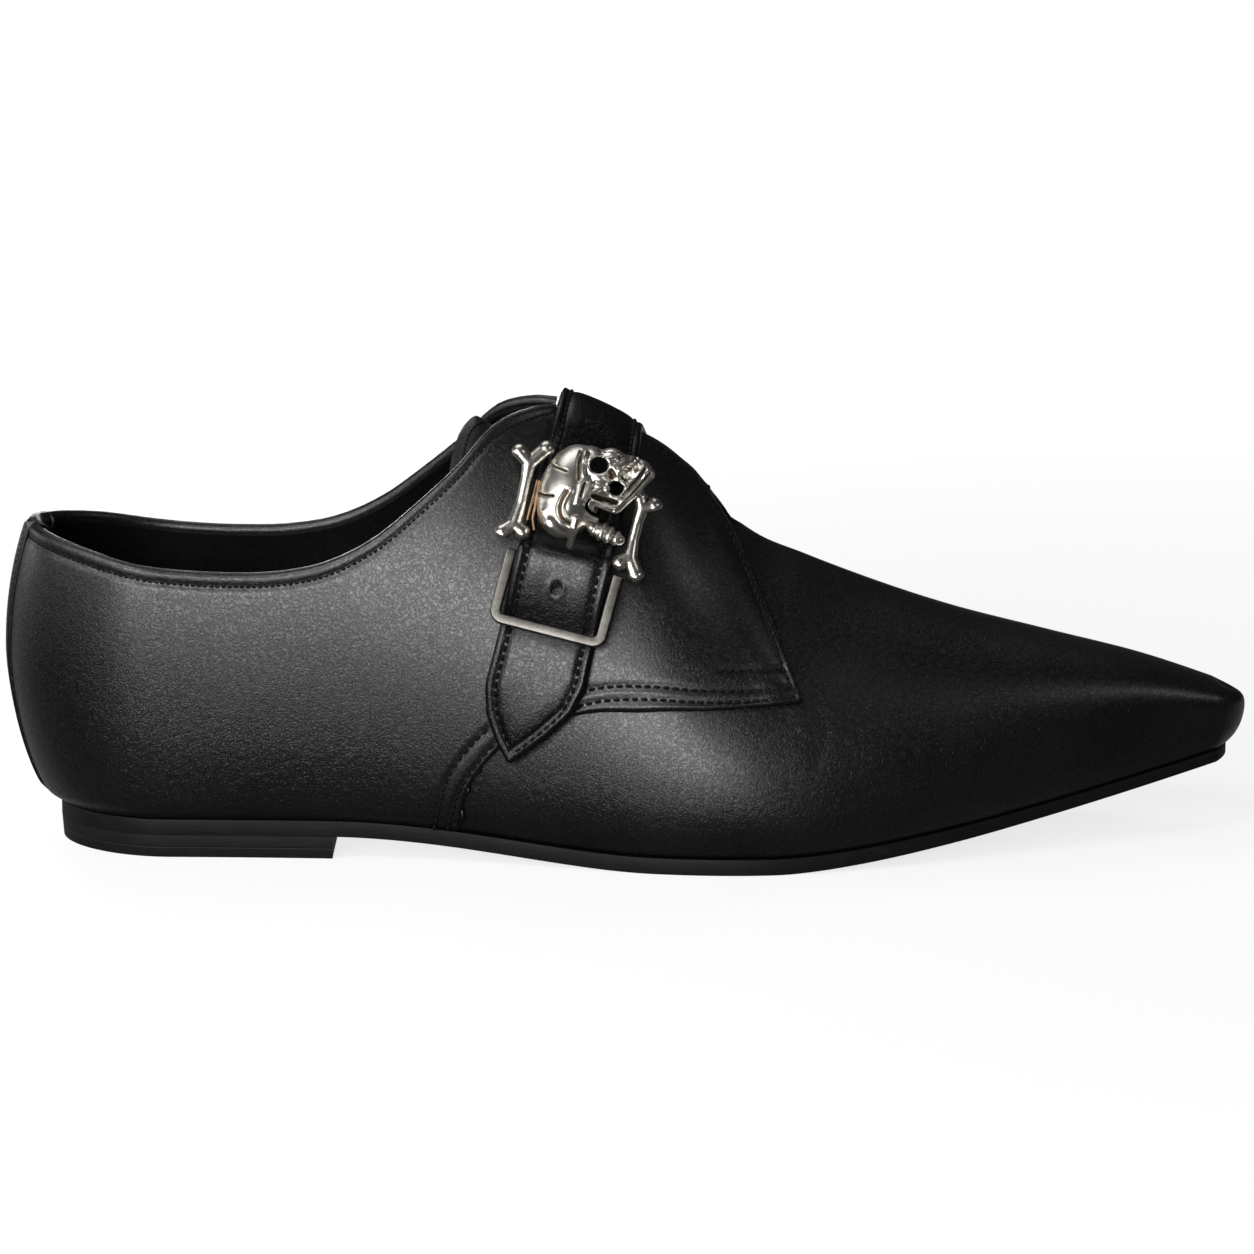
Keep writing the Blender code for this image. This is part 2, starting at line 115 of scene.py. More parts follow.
def finish(name, constants):
    """A new material: its shader, with the sockets that stay constant set, and its place in millimetres."""
    made = bpy.data.materials.new(name)
    made.use_nodes = True
    tree = made.node_tree
    shader = tree.nodes["Principled BSDF"]
    for socket, value in constants.items():
        shader.inputs[socket].default_value = value
    place = Wire(tree).node("TexCoord", out=3)
    place = place.node("VectorMath", {"operation": "SCALE"}, {0: place, "Scale": 1 / MM})
    return made, shader, place


def feed(shader, **wires):
    """Links wires to a shader: colour, roughness, normal, coat or glow."""
    sockets = {
        "colour": "Base Color",
        "roughness": "Roughness",
        "normal": "Normal",
        "coat": "Coat Weight",
        "glow": "Emission Color",
    }
    for name, wire in wires.items():
        wire.tree.links.new(wire.socket, shader.inputs[sockets[name]])


def bumped(height, strength, depth):
    """A normal from a height wire: depth is how deep, in millimetres, a change of 1 reaches."""
    return height.node("Bump", None, {"Strength": strength, "Distance": depth * MM, "Height": height})


bpy.ops.object.select_all(action="DESELECT")
bpy.ops.mesh.primitive_plane_add(size=2 * FLOOR_HALF)
floor = bpy.context.object
floor.name = "studio_floor"
paper, paper_shader, place = finish("floor_paper", {"Roughness": 0.8, "Emission Strength": 1.0})
away = place.node("VectorMath", {"operation": "LENGTH"}, {0: place}, out=1)
# Colour: faint random clouds in the paper. Glow: painted light, weaker near the shoe and stronger far off
feed(
    paper_shader,
    colour=place.noise(PAPER_CLOUDS).mixed(FLOOR_SHADE, FLOOR_WHITE),
    glow=away.between(*GLOW_REACH).mixed(GLOW_NEAR, GLOW_FAR),
)
floor.data.materials.append(paper)
floor.visible_glossy = False

world = bpy.data.worlds.new("studio_world")
bpy.context.scene.world = world
world.use_nodes = True
sky = Wire(world.node_tree)
direction = sky.node("TexCoord")
below = 1 - sky.node("SeparateXYZ", None, {0: direction}, out=2).between(*HORIZON)
behind = sky.node("SeparateXYZ", None, {0: direction}, out=1).between(*BEHIND)
glow = ROOM_DIM + below * (ROOM_LOW + ROOM_LOW_BEHIND * behind)
glow.tree.links.new(glow.socket, world.node_tree.nodes["Background"].inputs["Color"])

for name, place_at, aim, size, watts in (
    ("front_box", (-0.38, -1.25, 0.42), (0.0, 0.0, 0.05), (0.9, 0.40), 15.5),
    ("high_box", (-0.60, -0.75, 1.10), (0.0, 0.0, 0.05), (0.8, 0.6), 9.0),
    ("left_box", (-1.05, -0.45, 0.66), (0.0, -0.03, 0.09), (0.9, 0.8), 5.5),
    ("flap_box", (1.03, -0.30, 0.98), (0.02, 0.0, 0.06), (0.40, 0.30), 1.3),
    ("rear_box", (-0.30, 1.1, 1.9), (-0.05, 0.0, 0.05), (1.4, 1.0), 7.5),
    ("back_box", (-0.50, 1.70, 0.17), (0.0, 0.0, 0.05), (0.8, 0.24), 7.0),
    ("heel_box", (-1.6, 0.75, 0.30), (-0.1, 0.0, 0.05), (0.7, 0.4), 2.2),
):
    bpy.ops.object.light_add(type="AREA", location=place_at)
    lamp = bpy.context.object
    lamp.name = name
    lamp.data.shape = "RECTANGLE"
    lamp.data.size, lamp.data.size_y = size
    lamp.data.energy = watts
    lamp.rotation_euler = (Vector(aim) - Vector(place_at)).to_track_quat("-Z", "Y").to_euler()

# Camera: a long lens that looks at the lateral side from a little above it, as the photograph was taken.
# Its distance and the width that it takes in set the lens.
CAMERA_AIM = Vector((0.0001, 0.0012, 0.0529))
CAMERA_FAR = 1.3
CAMERA_ELEVATION = math.radians(12.0)
SEEN_WIDTH = 0.3178
back = Vector((0.0, -math.cos(CAMERA_ELEVATION), math.sin(CAMERA_ELEVATION)))
bpy.ops.object.camera_add(location=CAMERA_AIM + CAMERA_FAR * back)
camera = bpy.context.object
camera.name = "studio_camera"
camera.rotation_euler = (-back).to_track_quat("-Z", "Y").to_euler()
camera.data.lens = camera.data.sensor_width * CAMERA_FAR / SEEN_WIDTH
bpy.context.scene.camera = camera
bpy.context.scene.view_settings.view_transform = "Standard"

# Outsole: one thin piece of sole leather, cut to the foot's outline, dyed black on its edge and
# cemented under the lasted upper. It rises at the toe and bends over the heel seat.
LENGTH = 315.0
HEEL_BACK = 3.0
SOLE_THICK = 4.0
SOLE_TOE_THICK = 2.8
SOLE_MARGIN = 1.0
SOLE_EDGE = 0.55
HEEL_LIFT = 5.7
HEEL_BREAST = 84.0
FLAT_FROM = 165.0
FLAT_TO = 195.0
SOLE_TIP = 309.4
TOE_SPRING = 19.7
SPRING_POWER = 1.45
HEEL_CAP = 40.0
TOE_CAP = 8.0
BACK_TUCK = 11.5
TOE_TUCK = 5.6
SHOE_MIDDLE = np.array([157.5, -1.2, 0.0])
END = 0.00002
SHARP = math.radians(50)
SMOOTHED = math.radians(40)


def table(columns, *rows):
    return {name: np.array([row[i] for row in rows]) for i, name in enumerate(columns.split())}


# A row for each section of the last, s running from the heel (0) to the toe (1), in millimetres
SECTIONS = table(
    "s lateral medial tuck_lateral tuck_medial rise ridge_z ridge_y lower upper",
    (0.00, 30.0, 30.0, 4.5, 4.5, 20.0, 125.0, 0.0, 1.6, 2.0),
    (0.10, 31.5, 31.5, 4.5, 4.5, 20.0, 125.0, 0.0, 1.7, 1.9),
    (0.20, 32.5, 31.5, 4.5, 4.5, 20.0, 125.0, 0.0, 1.8, 1.8),
    (0.28, 34.0, 31.0, 4.5, 5.0, 19.0, 125.0, 0.0, 1.8, 1.8),
    (0.36, 37.0, 31.0, 4.5, 6.5, 18.0, 123.0, 1.0, 1.8, 1.75),
    (0.44, 42.5, 33.0, 4.5, 7.0, 15.0, 112.0, 2.5, 1.8, 1.7),
    (0.48, 45.8, 35.8, 4.5, 6.5, 13.5, 106.5, 3.5, 1.8, 1.7),
    (0.52, 48.5, 39.5, 4.5, 6.0, 12.5, 98.5, 4.5, 1.8, 1.7),
    (0.56, 50.0, 43.3, 4.5, 5.0, 11.8, 86.2, 5.2, 1.8, 1.7),
    (0.60, 50.0, 46.5, 4.5, 4.5, 11.0, 76.0, 6.0, 1.8, 1.75),
    (0.64, 48.2, 47.6, 4.5, 4.5, 10.6, 70.5, 6.3, 1.8, 1.8),
    (0.68, 45.0, 47.0, 4.5, 4.5, 10.5, 65.5, 6.5, 1.8, 1.85),
    (0.76, 36.0, 41.5, 4.5, 4.5, 11.5, 56.8, 6.0, 1.8, 2.1),
    (0.84, 25.5, 32.0, 4.5, 4.5, 13.5, 50.3, 5.0, 1.8, 2.4),
    (0.92, 15.0, 21.5, 4.0, 4.0, 13.5, 44.2, 4.0, 1.8, 2.6),
    (1.00, 5.0, 12.0, 3.5, 3.5, 9.5, 36.0, 3.5, 1.8, 2.6),
)


def through(stations, values, s):
    """Values at s on a cubic through the given stations."""
    slopes = np.gradient(values, stations)
    i = np.clip(np.searchsorted(stations, s, side="right") - 1, 0, len(stations) - 2)
    step = stations[i + 1] - stations[i]
    t = np.clip((s - stations[i]) / step, 0.0, 1.0)
    start = (1 + 2 * t) * (1 - t) ** 2 * values[i] + t * (1 - t) ** 2 * step * slopes[i]
    return start + t * t * (3 - 2 * t) * values[i + 1] + t * t * (t - 1) * step * slopes[i + 1]


def section(name, s):
    return through(SECTIONS["s"], SECTIONS[name], s)


def sole_bottom(x):
    """Height of the sole's underside: heel seat, waist, flat ball and toe spring."""
    waist = np.clip((x - HEEL_BREAST) / (FLAT_FROM - HEEL_BREAST), 0.0, 1.0)
    toe = np.clip((x - FLAT_TO) / (SOLE_TIP - FLAT_TO), 0.0, None)
    return HEEL_LIFT * (1 - waist * waist * (3 - 2 * waist)) + TOE_SPRING * toe ** SPRING_POWER


def sole_top(x):
    toe = np.clip((x - FLAT_TO) / (SOLE_TIP - FLAT_TO), 0.0, 1.0)
    return sole_bottom(x) + SOLE_THICK + (SOLE_TOE_THICK - SOLE_THICK) * toe


def end_turns(s):
    """How far the heel's and the toe's rounding have turned, and the width that they leave."""
    x = (LENGTH - HEEL_BACK) * s
    heel = np.clip(1 - x / HEEL_CAP, 0.0, None)
    toe = np.clip(1 - (LENGTH - HEEL_BACK - x) / TOE_CAP, 0.0, None)
    return heel, toe, np.sqrt(np.clip(1 - np.maximum(heel, toe) ** 2, 0.0, None))


def plan(s):
    lateral = section("lateral", s)
    medial = section("medial", s)
    return HEEL_BACK + (LENGTH - HEEL_BACK) * s, (medial - lateral) / 2, (medial + lateral) / 2


def sole_edge(side, s, inset):
    """The feather line in plan, moved inwards by inset. side is -1 lateral, 1 medial."""
    heel, toe, width = end_turns(s)
    x, middle, half = plan(s)
    tuck = section("tuck_lateral" if side < 0 else "tuck_medial", s)
    x = x + (BACK_TUCK + inset) * heel - (TOE_TUCK + inset) * toe
    return x, middle + side * (half - tuck - inset) * width


def stations(first, last, step):
    """Stations about step millimetres apart, closer where the heel and the toe round off."""
    length = LENGTH - HEEL_BACK
    heel_end = HEEL_CAP / length
    toe_start = 1 - TOE_CAP / length
    round_heel = heel_end * (1 - np.cos(np.linspace(0, math.pi / 2, int(60 / step))))
    round_toe = 1 - (1 - toe_start) * (1 - np.cos(np.linspace(math.pi / 2, 0, int(16 / step))))
    middle = np.linspace(heel_end, toe_start, int((toe_start - heel_end) * length / step))
    found = np.concatenate([round_heel[:-1], middle, round_toe[1:]])
    return np.concatenate([[first], found[(found > first) & (found < last)], [last]])


def move_points(made, points):
    made.data.vertices.foreach_set("co", points.reshape(-1))
    made.data.update()


def grid(name, points):
    """A flat grid pulled into shape: points, in millimetres, go by row and then along the row."""
    rows, columns = points.shape[:2]
    bpy.ops.object.select_all(action="DESELECT")
    bpy.ops.mesh.primitive_grid_add(x_subdivisions=columns - 1, y_subdivisions=rows - 1)
    made = bpy.context.object
    made.name = name
    made.data.name = name
    move_points(made, (points - SHOE_MIDDLE) * MM)
    return made


def apply(made, kind, **settings):
    """Adds a modifier to an object and applies it."""
    bpy.ops.object.select_all(action="DESELECT")
    made.select_set(True)
    bpy.context.view_layer.objects.active = made
    step = made.modifiers.new(kind.lower(), kind)
    for name, value in settings.items():
        setattr(step, name, value)
    bpy.ops.object.modifier_apply(modifier=step.name)
    return made


def slab(name, first, last, inset_low, inset_high, low, high, rounding, step=2.0, across=25):
    """A layer of the sole: a grid in the sole's outline, given its thickness and rounded edges."""
    s = stations(first, last, step)
    layers = []
    for inset, height in ((inset_high, high), (inset_low, low)):
        x, lateral = sole_edge(-1, s, inset)
        medial = sole_edge(1, s, inset)[1]
        t = (1 - np.cos(np.linspace(0, math.pi, across)))[:, None] / 2
        y = lateral + (medial - lateral) * t
        layers.append(np.stack([x + 0 * y, y, height(x) + 0 * y], axis=2))
    made = grid(name, layers[0])
    apply(made, "SOLIDIFY", thickness=MM, offset=-1.0)
    move_points(made, (np.concatenate([layer.reshape(-1, 3) for layer in layers]) - SHOE_MIDDLE) * MM)
    apply(made, "BEVEL", width=rounding * MM, segments=3, limit_method="ANGLE", angle_limit=SHARP)
    bpy.ops.object.shade_smooth_by_angle(angle=SMOOTHED)
    return made


def fit(made, node=None):
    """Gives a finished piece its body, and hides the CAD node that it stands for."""
    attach(made, "root")
    if node:
        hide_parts(node)


outsole = slab("outsole", END, 1 - END, -SOLE_MARGIN, -SOLE_MARGIN, sole_bottom, sole_top, SOLE_EDGE)
sole_look, sole_shader, place = finish("sole_leather", {"Specular IOR Level": 0.22})
fibre = place.node("Mapping", None, {"Vector": place, "Scale": (0.12, 0.5, 2.2)}).noise(1.0, 4.0)
scuffs = place.noise(0.05, 5.0, 0.65).between(0.5, 0.72)
worn = scuffs * fibre.between(0.35, 0.75)
feed(
    sole_shader,
    colour=worn.mixed((0.0022, 0.0021, 0.0020), (0.007, 0.0063, 0.006)),
    roughness=0.42 + 0.25 * fibre,
    normal=bumped(fibre, 0.35, 0.12),
)
outsole.data.materials.append(sole_look)
fit(outsole, "outsole")

# Heel: a low one-piece lift with a black rubber top piece, nailed and glued under the sole's seat.
# Its breast, the front face, is cut square and its lower front corner is rubbed round.
HEEL_TAPER = 0.4
HEEL_EDGE = 0.7
TOP_PIECE = 2.6
SEAT_GAP = 0.05
BREAST = (HEEL_BREAST - HEEL_BACK) / (LENGTH - HEEL_BACK)
heel = slab(
    "heel",
    END,
    BREAST,
    HEEL_TAPER - SOLE_MARGIN,
    -SOLE_MARGIN,
    lambda x: 0.0 * x,
    lambda x: 0.0 * x + HEEL_LIFT - SEAT_GAP,
    HEEL_EDGE,
)
rubber, rubber_shader, place = finish("heel_rubber", {"Specular IOR Level": 0.22})
layer = place.node("SeparateXYZ", None, {0: place}, out=2)
joint = 1 - abs(layer - TOP_PIECE).between(0.05, 0.22)
mottle = place.noise(0.35, 4.0, 0.6)
feed(
    rubber_shader,
    colour=mottle.mixed((0.002, 0.002, 0.002), (0.0052, 0.005, 0.0048)),
    roughness=0.45 + 0.2 * mottle,
    normal=bumped(mottle * 0.4 - joint, 0.5, 0.2),
)
heel.data.materials.append(rubber)
fit(heel, "heel")

# Insole: a firm board covered with black sock leather, on which the foot stands. It is laid inside the
# upper's turned-in margin and cemented down.
INSOLE_THICK = 2.5
INSOLE_EDGE = 0.6
INSOLE_INSET = 3.2
GAP = 0.3
insole = slab(
    "insole",
    END,
    1 - END,
    INSOLE_INSET,
    INSOLE_INSET,
    lambda x: sole_top(x) + GAP,
    lambda x: sole_top(x) + GAP + INSOLE_THICK,
    INSOLE_EDGE,
)


def leather(name, dark, light, gloss, grain, depth, shine=0.80):
    """Black leather: short curling wrinkles, grain millimetres apart, under a polish that they break."""
    made, shader, place = finish(name, {"Specular IOR Level": 0.35 * shine, "Coat Roughness": gloss})
    bent = place.node("TexNoise", None, {"Vector": place, "Scale": 0.6 / grain, "Detail": 1.0}, out=1)
    bent = bent.node("VectorMath", {"operation": "SCALE"}, {0: bent, "Scale": 1.3 * grain})
    bent = bent.node("VectorMath", {"operation": "ADD"}, {0: place, 1: bent})
    curls = abs(bent.noise(1.15 / grain, 1.0) - 0.5).between(0.0, 0.15)
    worms = abs(bent.noise(1.9 / grain, 1.0) - 0.5).between(0.0, 0.16)
    pores = place.noise(4.0 / grain, 2.0, 0.6)
    height = curls * 0.55 + worms * 0.45 + pores * 0.05
    dressing = place.noise(0.03, 3.0, 0.55)
    feed(
        shader,
        colour=(dressing * 0.7 + pores * 0.3).between(0.3, 0.7).mixed(dark, light),
        roughness=gloss + 0.14 * (dressing - 0.5),
        normal=bumped(height, 0.5, depth),
        coat=shine * (0.30 + 0.85 * curls * (0.4 + 0.6 * worms)) * (0.7 + 0.6 * dressing),
    )
    return made


insole_look = leather("insole_leather", (0.002, 0.002, 0.002), (0.005, 0.0048, 0.0046), 0.5, 1.2, 0.06, 0.2)
insole.data.materials.append(insole_look)
fit(insole, "insole")

# Upper: the vamp, cut in one piece of smooth black calf with a leather lining, pulled over the last
# and turned in under the insole. It is open at the collar, at the throat and underneath.
WALL = 1.8
BACK_RISE = 18.0
CONE_LEAN = 60.0
RIDGE_STOP = 4.0
SLOT_HALF = 5.0
SLOT_FROM = 0.43
SLOT_TO = 0.59
SLOT_ROUND = 0.02
MEDIAL_COLLAR_RISE = 1.5
MEDIAL_RISE_END = 0.4
LOWER_POINTS = 41
UPPER_POINTS = 121
GIRTH_STEPS = 240
TINY = 1e-12
CALF_DARK = (0.0012, 0.0012, 0.0013)
CALF_LIGHT = (0.0027, 0.0027, 0.0028)

# Height of the collar edge above the floor
COLLAR = table(
    "s height",
    *((0.00, 81.0), (0.05, 77.8), (0.10, 74.6), (0.14, 73.2), (0.18, 72.6), (0.22, 73.0), (0.26, 75.6)),
    *((0.30, 82.0), (0.33, 89.5), (0.36, 97.8), (0.39, 107.2), (0.42, 110.2), (0.44, 110.4), (0.46, 111.5)),
)


def ribs(side, s):
    """The last's wall at stations s, from the feather line up to the ridge, and its girth shares."""
    heel, toe, width = end_turns(s)
    x, middle, half = plan(s)
    edge_x, edge_y = sole_edge(side, s, 0.0)
    feather = np.stack([edge_x, edge_y, sole_top(edge_x) + GAP], axis=1)
    rise = section("rise", s) + BACK_RISE * heel
    widest = np.stack([x, middle + side * half * width, feather[:, 2] + rise], axis=1)
    ridge_x = x + CONE_LEAN * heel - RIDGE_STOP * toe
    ridge = np.stack([ridge_x, section("ridge_y", s), section("ridge_z", s)], axis=1)
    parts = []
    for end, name, turns in (
        (feather, "lower", np.linspace(math.pi / 2, 0, LOWER_POINTS)),
        (ridge, "upper", np.linspace(0, math.pi / 2, UPPER_POINTS)[1:]),
    ):
        power = 2 / section(name, s)[:, None]
        across = 1 - np.abs(np.cos(turns)) ** power
        up = np.abs(np.sin(turns)) ** power
        steps = np.stack([across, across, up], axis=2)
        parts.append(widest[:, None] + steps * (end - widest)[:, None])
    points = np.concatenate(parts, axis=1)
    runs = np.cumsum(np.linalg.norm(np.diff(points, axis=1), axis=2), axis=1)
    runs = np.concatenate([np.zeros((len(s), 1)), runs], axis=1)
    return points, runs / runs[:, -1:], runs[:, -1]


# The last as a fine net: stations along it, girth from the lateral feather (0) by the ridge (1) to
# the medial feather (2)
LAST_S = stations(0.0, 1.0, 0.5)
net = []
for side in (-1, 1):
    points, shares, lengths = ribs(side, LAST_S)
    even = np.linspace(0, 1, GIRTH_STEPS + 1)
    half_net = np.empty((len(LAST_S), GIRTH_STEPS + 1, 3))
    for i in range(len(LAST_S)):
        for k in range(3):
            half_net[i, :, k] = np.interp(even, shares[i], points[i, :, k])
    net.append(half_net)
LAST = np.concatenate([net[0], net[1][:, -2::-1]], axis=1)
LAST_OUT = np.cross(np.gradient(LAST, axis=0), np.gradient(LAST, axis=1))
LAST_OUT /= np.linalg.norm(LAST_OUT, axis=2, keepdims=True) + TINY


def on_last(s, girth, lift=0.0):
    """Points of the last at stations s and girths, moved outwards by lift millimetres."""
    u = np.interp(s, LAST_S, np.arange(len(LAST_S)))
    v = np.clip(girth, 0.0, 2.0) * GIRTH_STEPS
    u, v, lift = np.broadcast_arrays(u, v, lift)
    i = np.clip(u.astype(int), 0, LAST.shape[0] - 2)
    j = np.clip(v.astype(int), 0, LAST.shape[1] - 2)
    p = (u - i)[..., None]
    q = (v - j)[..., None]
    found = []
    for source in (LAST, LAST_OUT):
        low = source[i, j] * (1 - p) + source[i + 1, j] * p
        high = source[i, j + 1] * (1 - p) + source[i + 1, j + 1] * p
        found.append(low * (1 - q) + high * q)
    out = found[1] / (np.linalg.norm(found[1], axis=-1, keepdims=True) + TINY)
    return found[0] + lift[..., None] * out


def collar_height(side, s):
    """Height of the collar edge, which stands a little higher on the medial side."""
    height = through(COLLAR["s"], COLLAR["height"], s)
    if side > 0:
        height = height + MEDIAL_COLLAR_RISE * np.sin(np.minimum(s / MEDIAL_RISE_END, 1.0) * math.pi)
    return height


def opening(side, s):
    """Girth share where the upper stops: at the collar, beside the throat slot, or at the ridge."""
    s = np.atleast_1d(s)
    points, shares, lengths = ribs(side, s)
    height = collar_height(side, s)
    half = SLOT_HALF * np.sqrt(1 - (1 - np.clip((SLOT_TO - s) / SLOT_ROUND, 0.0, 1.0)) ** 2)
    away = np.abs(points[..., 1] - points[:, -1:, 1])[:, ::-1][:, :UPPER_POINTS]
    found = np.ones(len(s))
    for i in range(len(s)):
        if s[i] < COLLAR["s"][-1]:
            found[i] = np.interp(height[i], points[i, :, 2], shares[i])
        if SLOT_FROM <= s[i] < SLOT_TO:
            found[i] = min(found[i], np.interp(half[i], away[i], shares[i, ::-1][:UPPER_POINTS]))
    return found


def nearest(points, line):
    """How far each point is from a line of points."""
    flat = points.reshape(-1, 3)
    found = np.empty(len(flat))
    for i in range(0, len(flat), 4000):
        found[i:i + 4000] = np.sqrt(((flat[i:i + 4000, None] - line) ** 2).sum(axis=2).min(axis=1))
    return found.reshape(points.shape[:-1])


def smooth(t):
    t = np.clip(t, 0.0, 1.0)
    return t * t * (3 - 2 * t)


def hump(distance, half_wide):
    return np.exp(-((distance / half_wide) ** 2))


def run_of(points):
    """How far along a line of points each of them lies."""
    return np.concatenate([[0.0], np.cumsum(np.linalg.norm(np.diff(points, axis=0), axis=1))])


def trace(picks, count=240):
    """A smooth line through picks of (station, girth share)."""
    picks = np.array(picks)
    run = run_of(on_last(picks[:, 0], picks[:, 1]))
    even = np.linspace(0, run[-1], count)
    return np.stack([through(run, picks[:, 0], even), through(run, picks[:, 1], even)], axis=1)


# The faint fold that the ball of the foot presses into the vamp, under the flap's corner
CREASE = trace([(0.641, 0.47), (0.647, 0.40), (0.649, 0.33), (0.646, 0.27)])
CREASE_DEEP = 0.16
CREASE_WIDE = 2.2
MARGIN_TURN = 6.0
MARGIN_ROUND = 0.8
HIDDEN_EDGE = 1.6
REAR_END = 0.34


def joined(pieces):
    """Pieces joined into the first of them."""
    bpy.ops.object.select_all(action="DESELECT")
    for piece in pieces:
        piece.select_set(True)
    bpy.context.view_layer.objects.active = pieces[0]
    bpy.ops.object.join()
    return pieces[0]


halves = []
crease_line = on_last(CREASE[:, 0], CREASE[:, 1])
for side in (-1, 1):
    s = np.concatenate([stations(0.0, REAR_END, 2.4), stations(REAR_END, 1.0, 1.15)[1:]])
    girth_length = ribs(side, s)[2]
    top = opening(side, s)
    top = np.where(top < 1, top - HIDDEN_EDGE / girth_length, 1.0)
    rows = np.linspace(0, 1, 76)[:, None]
    girth = top * rows
    points = on_last(s, girth if side < 0 else 2 - girth)
    fold = hump(nearest(points, crease_line), CREASE_WIDE)
    points = on_last(s, girth if side < 0 else 2 - girth, -CREASE_DEEP * fold)
    turned = []
    for inset in (MARGIN_TURN, MARGIN_TURN / 2, MARGIN_ROUND):
        x, y = sole_edge(side, s, inset)
        turned.append(np.stack([x, y, sole_top(x) + SEAT_GAP], axis=1))
    points = np.concatenate([np.array(turned), points])
    halves.append(grid("upper", points[:, ::-side]))
upper = joined(halves)
bpy.ops.object.mode_set(mode="EDIT")
bpy.ops.mesh.select_all(action="SELECT")
bpy.ops.mesh.remove_doubles(threshold=0.00005)
bpy.ops.object.mode_set(mode="OBJECT")
upper.data.materials.append(leather("vamp_leather", CALF_DARK, CALF_LIGHT, 0.33, 1.1, 0.12))
lining_dark = (0.001, 0.001, 0.001)
lining_light = (0.0025, 0.0024, 0.0023)
upper.data.materials.append(leather("lining_leather", lining_dark, lining_light, 0.6, 1.4, 0.06, 0.12))
apply(upper, "SOLIDIFY", thickness=WALL * MM, offset=-1.0, material_offset=1, material_offset_rim=1)
bpy.ops.object.shade_smooth()
fit(upper, "upper")

# Tongue: a thin lined piece of the same calf, sewn in below the throat and lying under both quarters.
# Its free end stands up behind the collar, lower than the instep, with its edge stitched.
TONGUE_THICK = 1.6
TONGUE_EDGE = 0.5
TONGUE_UNDER = 2.9
TONGUE_FROM = 0.3777
TONGUE_TO = 0.6
TONGUE_REACH = 0.40
TONGUE_EDGE_BACK = 0.0257
TONGUE_EDGE_ROUND = 0.18
TONGUE_TOP = table(
    "s height",
    *((0.340, 107.0), (0.364, 106.8), (0.376, 107.0), (0.390, 104.4)),
    *((0.405, 101.6), (0.422, 103.6), (0.440, 108.8), (0.460, 120.0)),
)


def on_tongue(s, girth, lift):
    """Points of the tongue: on the last under the throat, and sagging where the last rises behind it."""
    aside = np.abs(girth - 1) / TONGUE_REACH
    slant = TONGUE_EDGE_BACK * aside ** 2 / (aside ** 2 + TONGUE_EDGE_ROUND ** 2)
    s = s - slant * (TONGUE_TO - s) / (TONGUE_TO - TONGUE_FROM)
    points = on_last(s, girth, lift - TONGUE_UNDER)
    top = through(TONGUE_TOP["s"], TONGUE_TOP["height"], s)
    sag = np.clip(on_last(s, 1.0 + 0 * girth)[..., 2] - TONGUE_UNDER - top, 0.0, None)
    points[..., 2] -= sag * np.cos(np.clip(aside, 0.0, 1.0) * math.pi / 2)
    return points


s = np.linspace(TONGUE_FROM, TONGUE_TO, 90)
girth = np.linspace(1 - TONGUE_REACH, 1 + TONGUE_REACH, 80)[:, None]
tongue = grid("tongue", on_tongue(s + 0 * girth, girth + 0 * s, 0.0))
tongue_look = leather("tongue_leather", (0.004, 0.004, 0.004), (0.008, 0.008, 0.008), 0.40, 1.0, 0.05)
tongue.data.materials.append(tongue_look)
apply(tongue, "SOLIDIFY", thickness=TONGUE_THICK * MM, offset=-1.0)
apply(tongue, "BEVEL", width=TONGUE_EDGE * MM, segments=3, limit_method="ANGLE", angle_limit=SHARP)
bpy.ops.object.shade_smooth_by_angle(angle=SMOOTHED)
fit(tongue, "tongue")

# Quarters: the two sides, of the same calf, sewn over the vamp in the derby way. Their free edges are
# folded and rubbed round, the collar edge rolls over the lining, and the rows of thread pull them down.
QUARTER_LIFT = 1.85
QUARTER_THICK = 0.9
EDGE_LIFT = 0.2
EDGE_ROUND = 1.15
COLLAR_LIFT = 1.95
COLLAR_ROUND = 1.6
COLLAR_TAPER = 3.2
COLLAR_DROP = 1.5
FEATHER_LIFT = 0.35
FEATHER_TAPER = 5.0
COLLAR_INSIDE = 3.0
STITCH_DEEP = 0.44
STITCH_WIDE = 0.8
THREAD_PROUD = 0.12
DERBY_FOOT = 0.3606
FLAP_CORNER = (0.6344, 0.419)

# Edges and rows of thread by station and girth share, from the feather up and from rear to front
FLAP_EDGE = [
    *((DERBY_FOOT, 0.0), (0.3702, 0.106), (0.3927, 0.189), (0.4078, 0.224), (0.4624, 0.296)),
    *((0.5139, 0.323), (0.5526, 0.352), (0.5996, 0.393), FLAP_CORNER),
]
FRONT_EDGE = [
    *(FLAP_CORNER, (0.6237, 0.515), (0.6120, 0.613)),
    *((0.5904, 0.787), (0.5740, 0.910), (0.5600, 0.972)),
]
THREAD_ROWS = [
    [(0.3911, 0.204), (0.3780, 0.160), (0.3638, 0.103), (0.3531, 0.012)],
    [(0.3863, 0.231), (0.3720, 0.190), (0.3566, 0.135), (0.3423, 0.012)],
    [(0.3985, 0.243), (0.4665, 0.345), (0.5446, 0.391), (0.6200, 0.450)],
    [(0.4030, 0.226), (0.4642, 0.316), (0.5447, 0.365), (0.6255, 0.428)],
    [(0.5655, 0.453), (0.5900, 0.476), (0.6178, 0.502)],
    [(0.5096, 0.950), (0.5379, 0.955), (0.5574, 0.925), (0.5752, 0.855), (0.5897, 0.747), (0.6051, 0.621),
     (0.6178, 0.502), (0.6240, 0.455)],
]
COLLAR_ROW = 3.6
COLLAR_FINE = 0.66
FLAPS_APART = 1.6
FLAP_SWELL = 0.5
SWELL_IN = 7.0
SWELL_WIDE = 3.6
INSTEP_SINK = 1.4
SINK_WIDE = 0.05
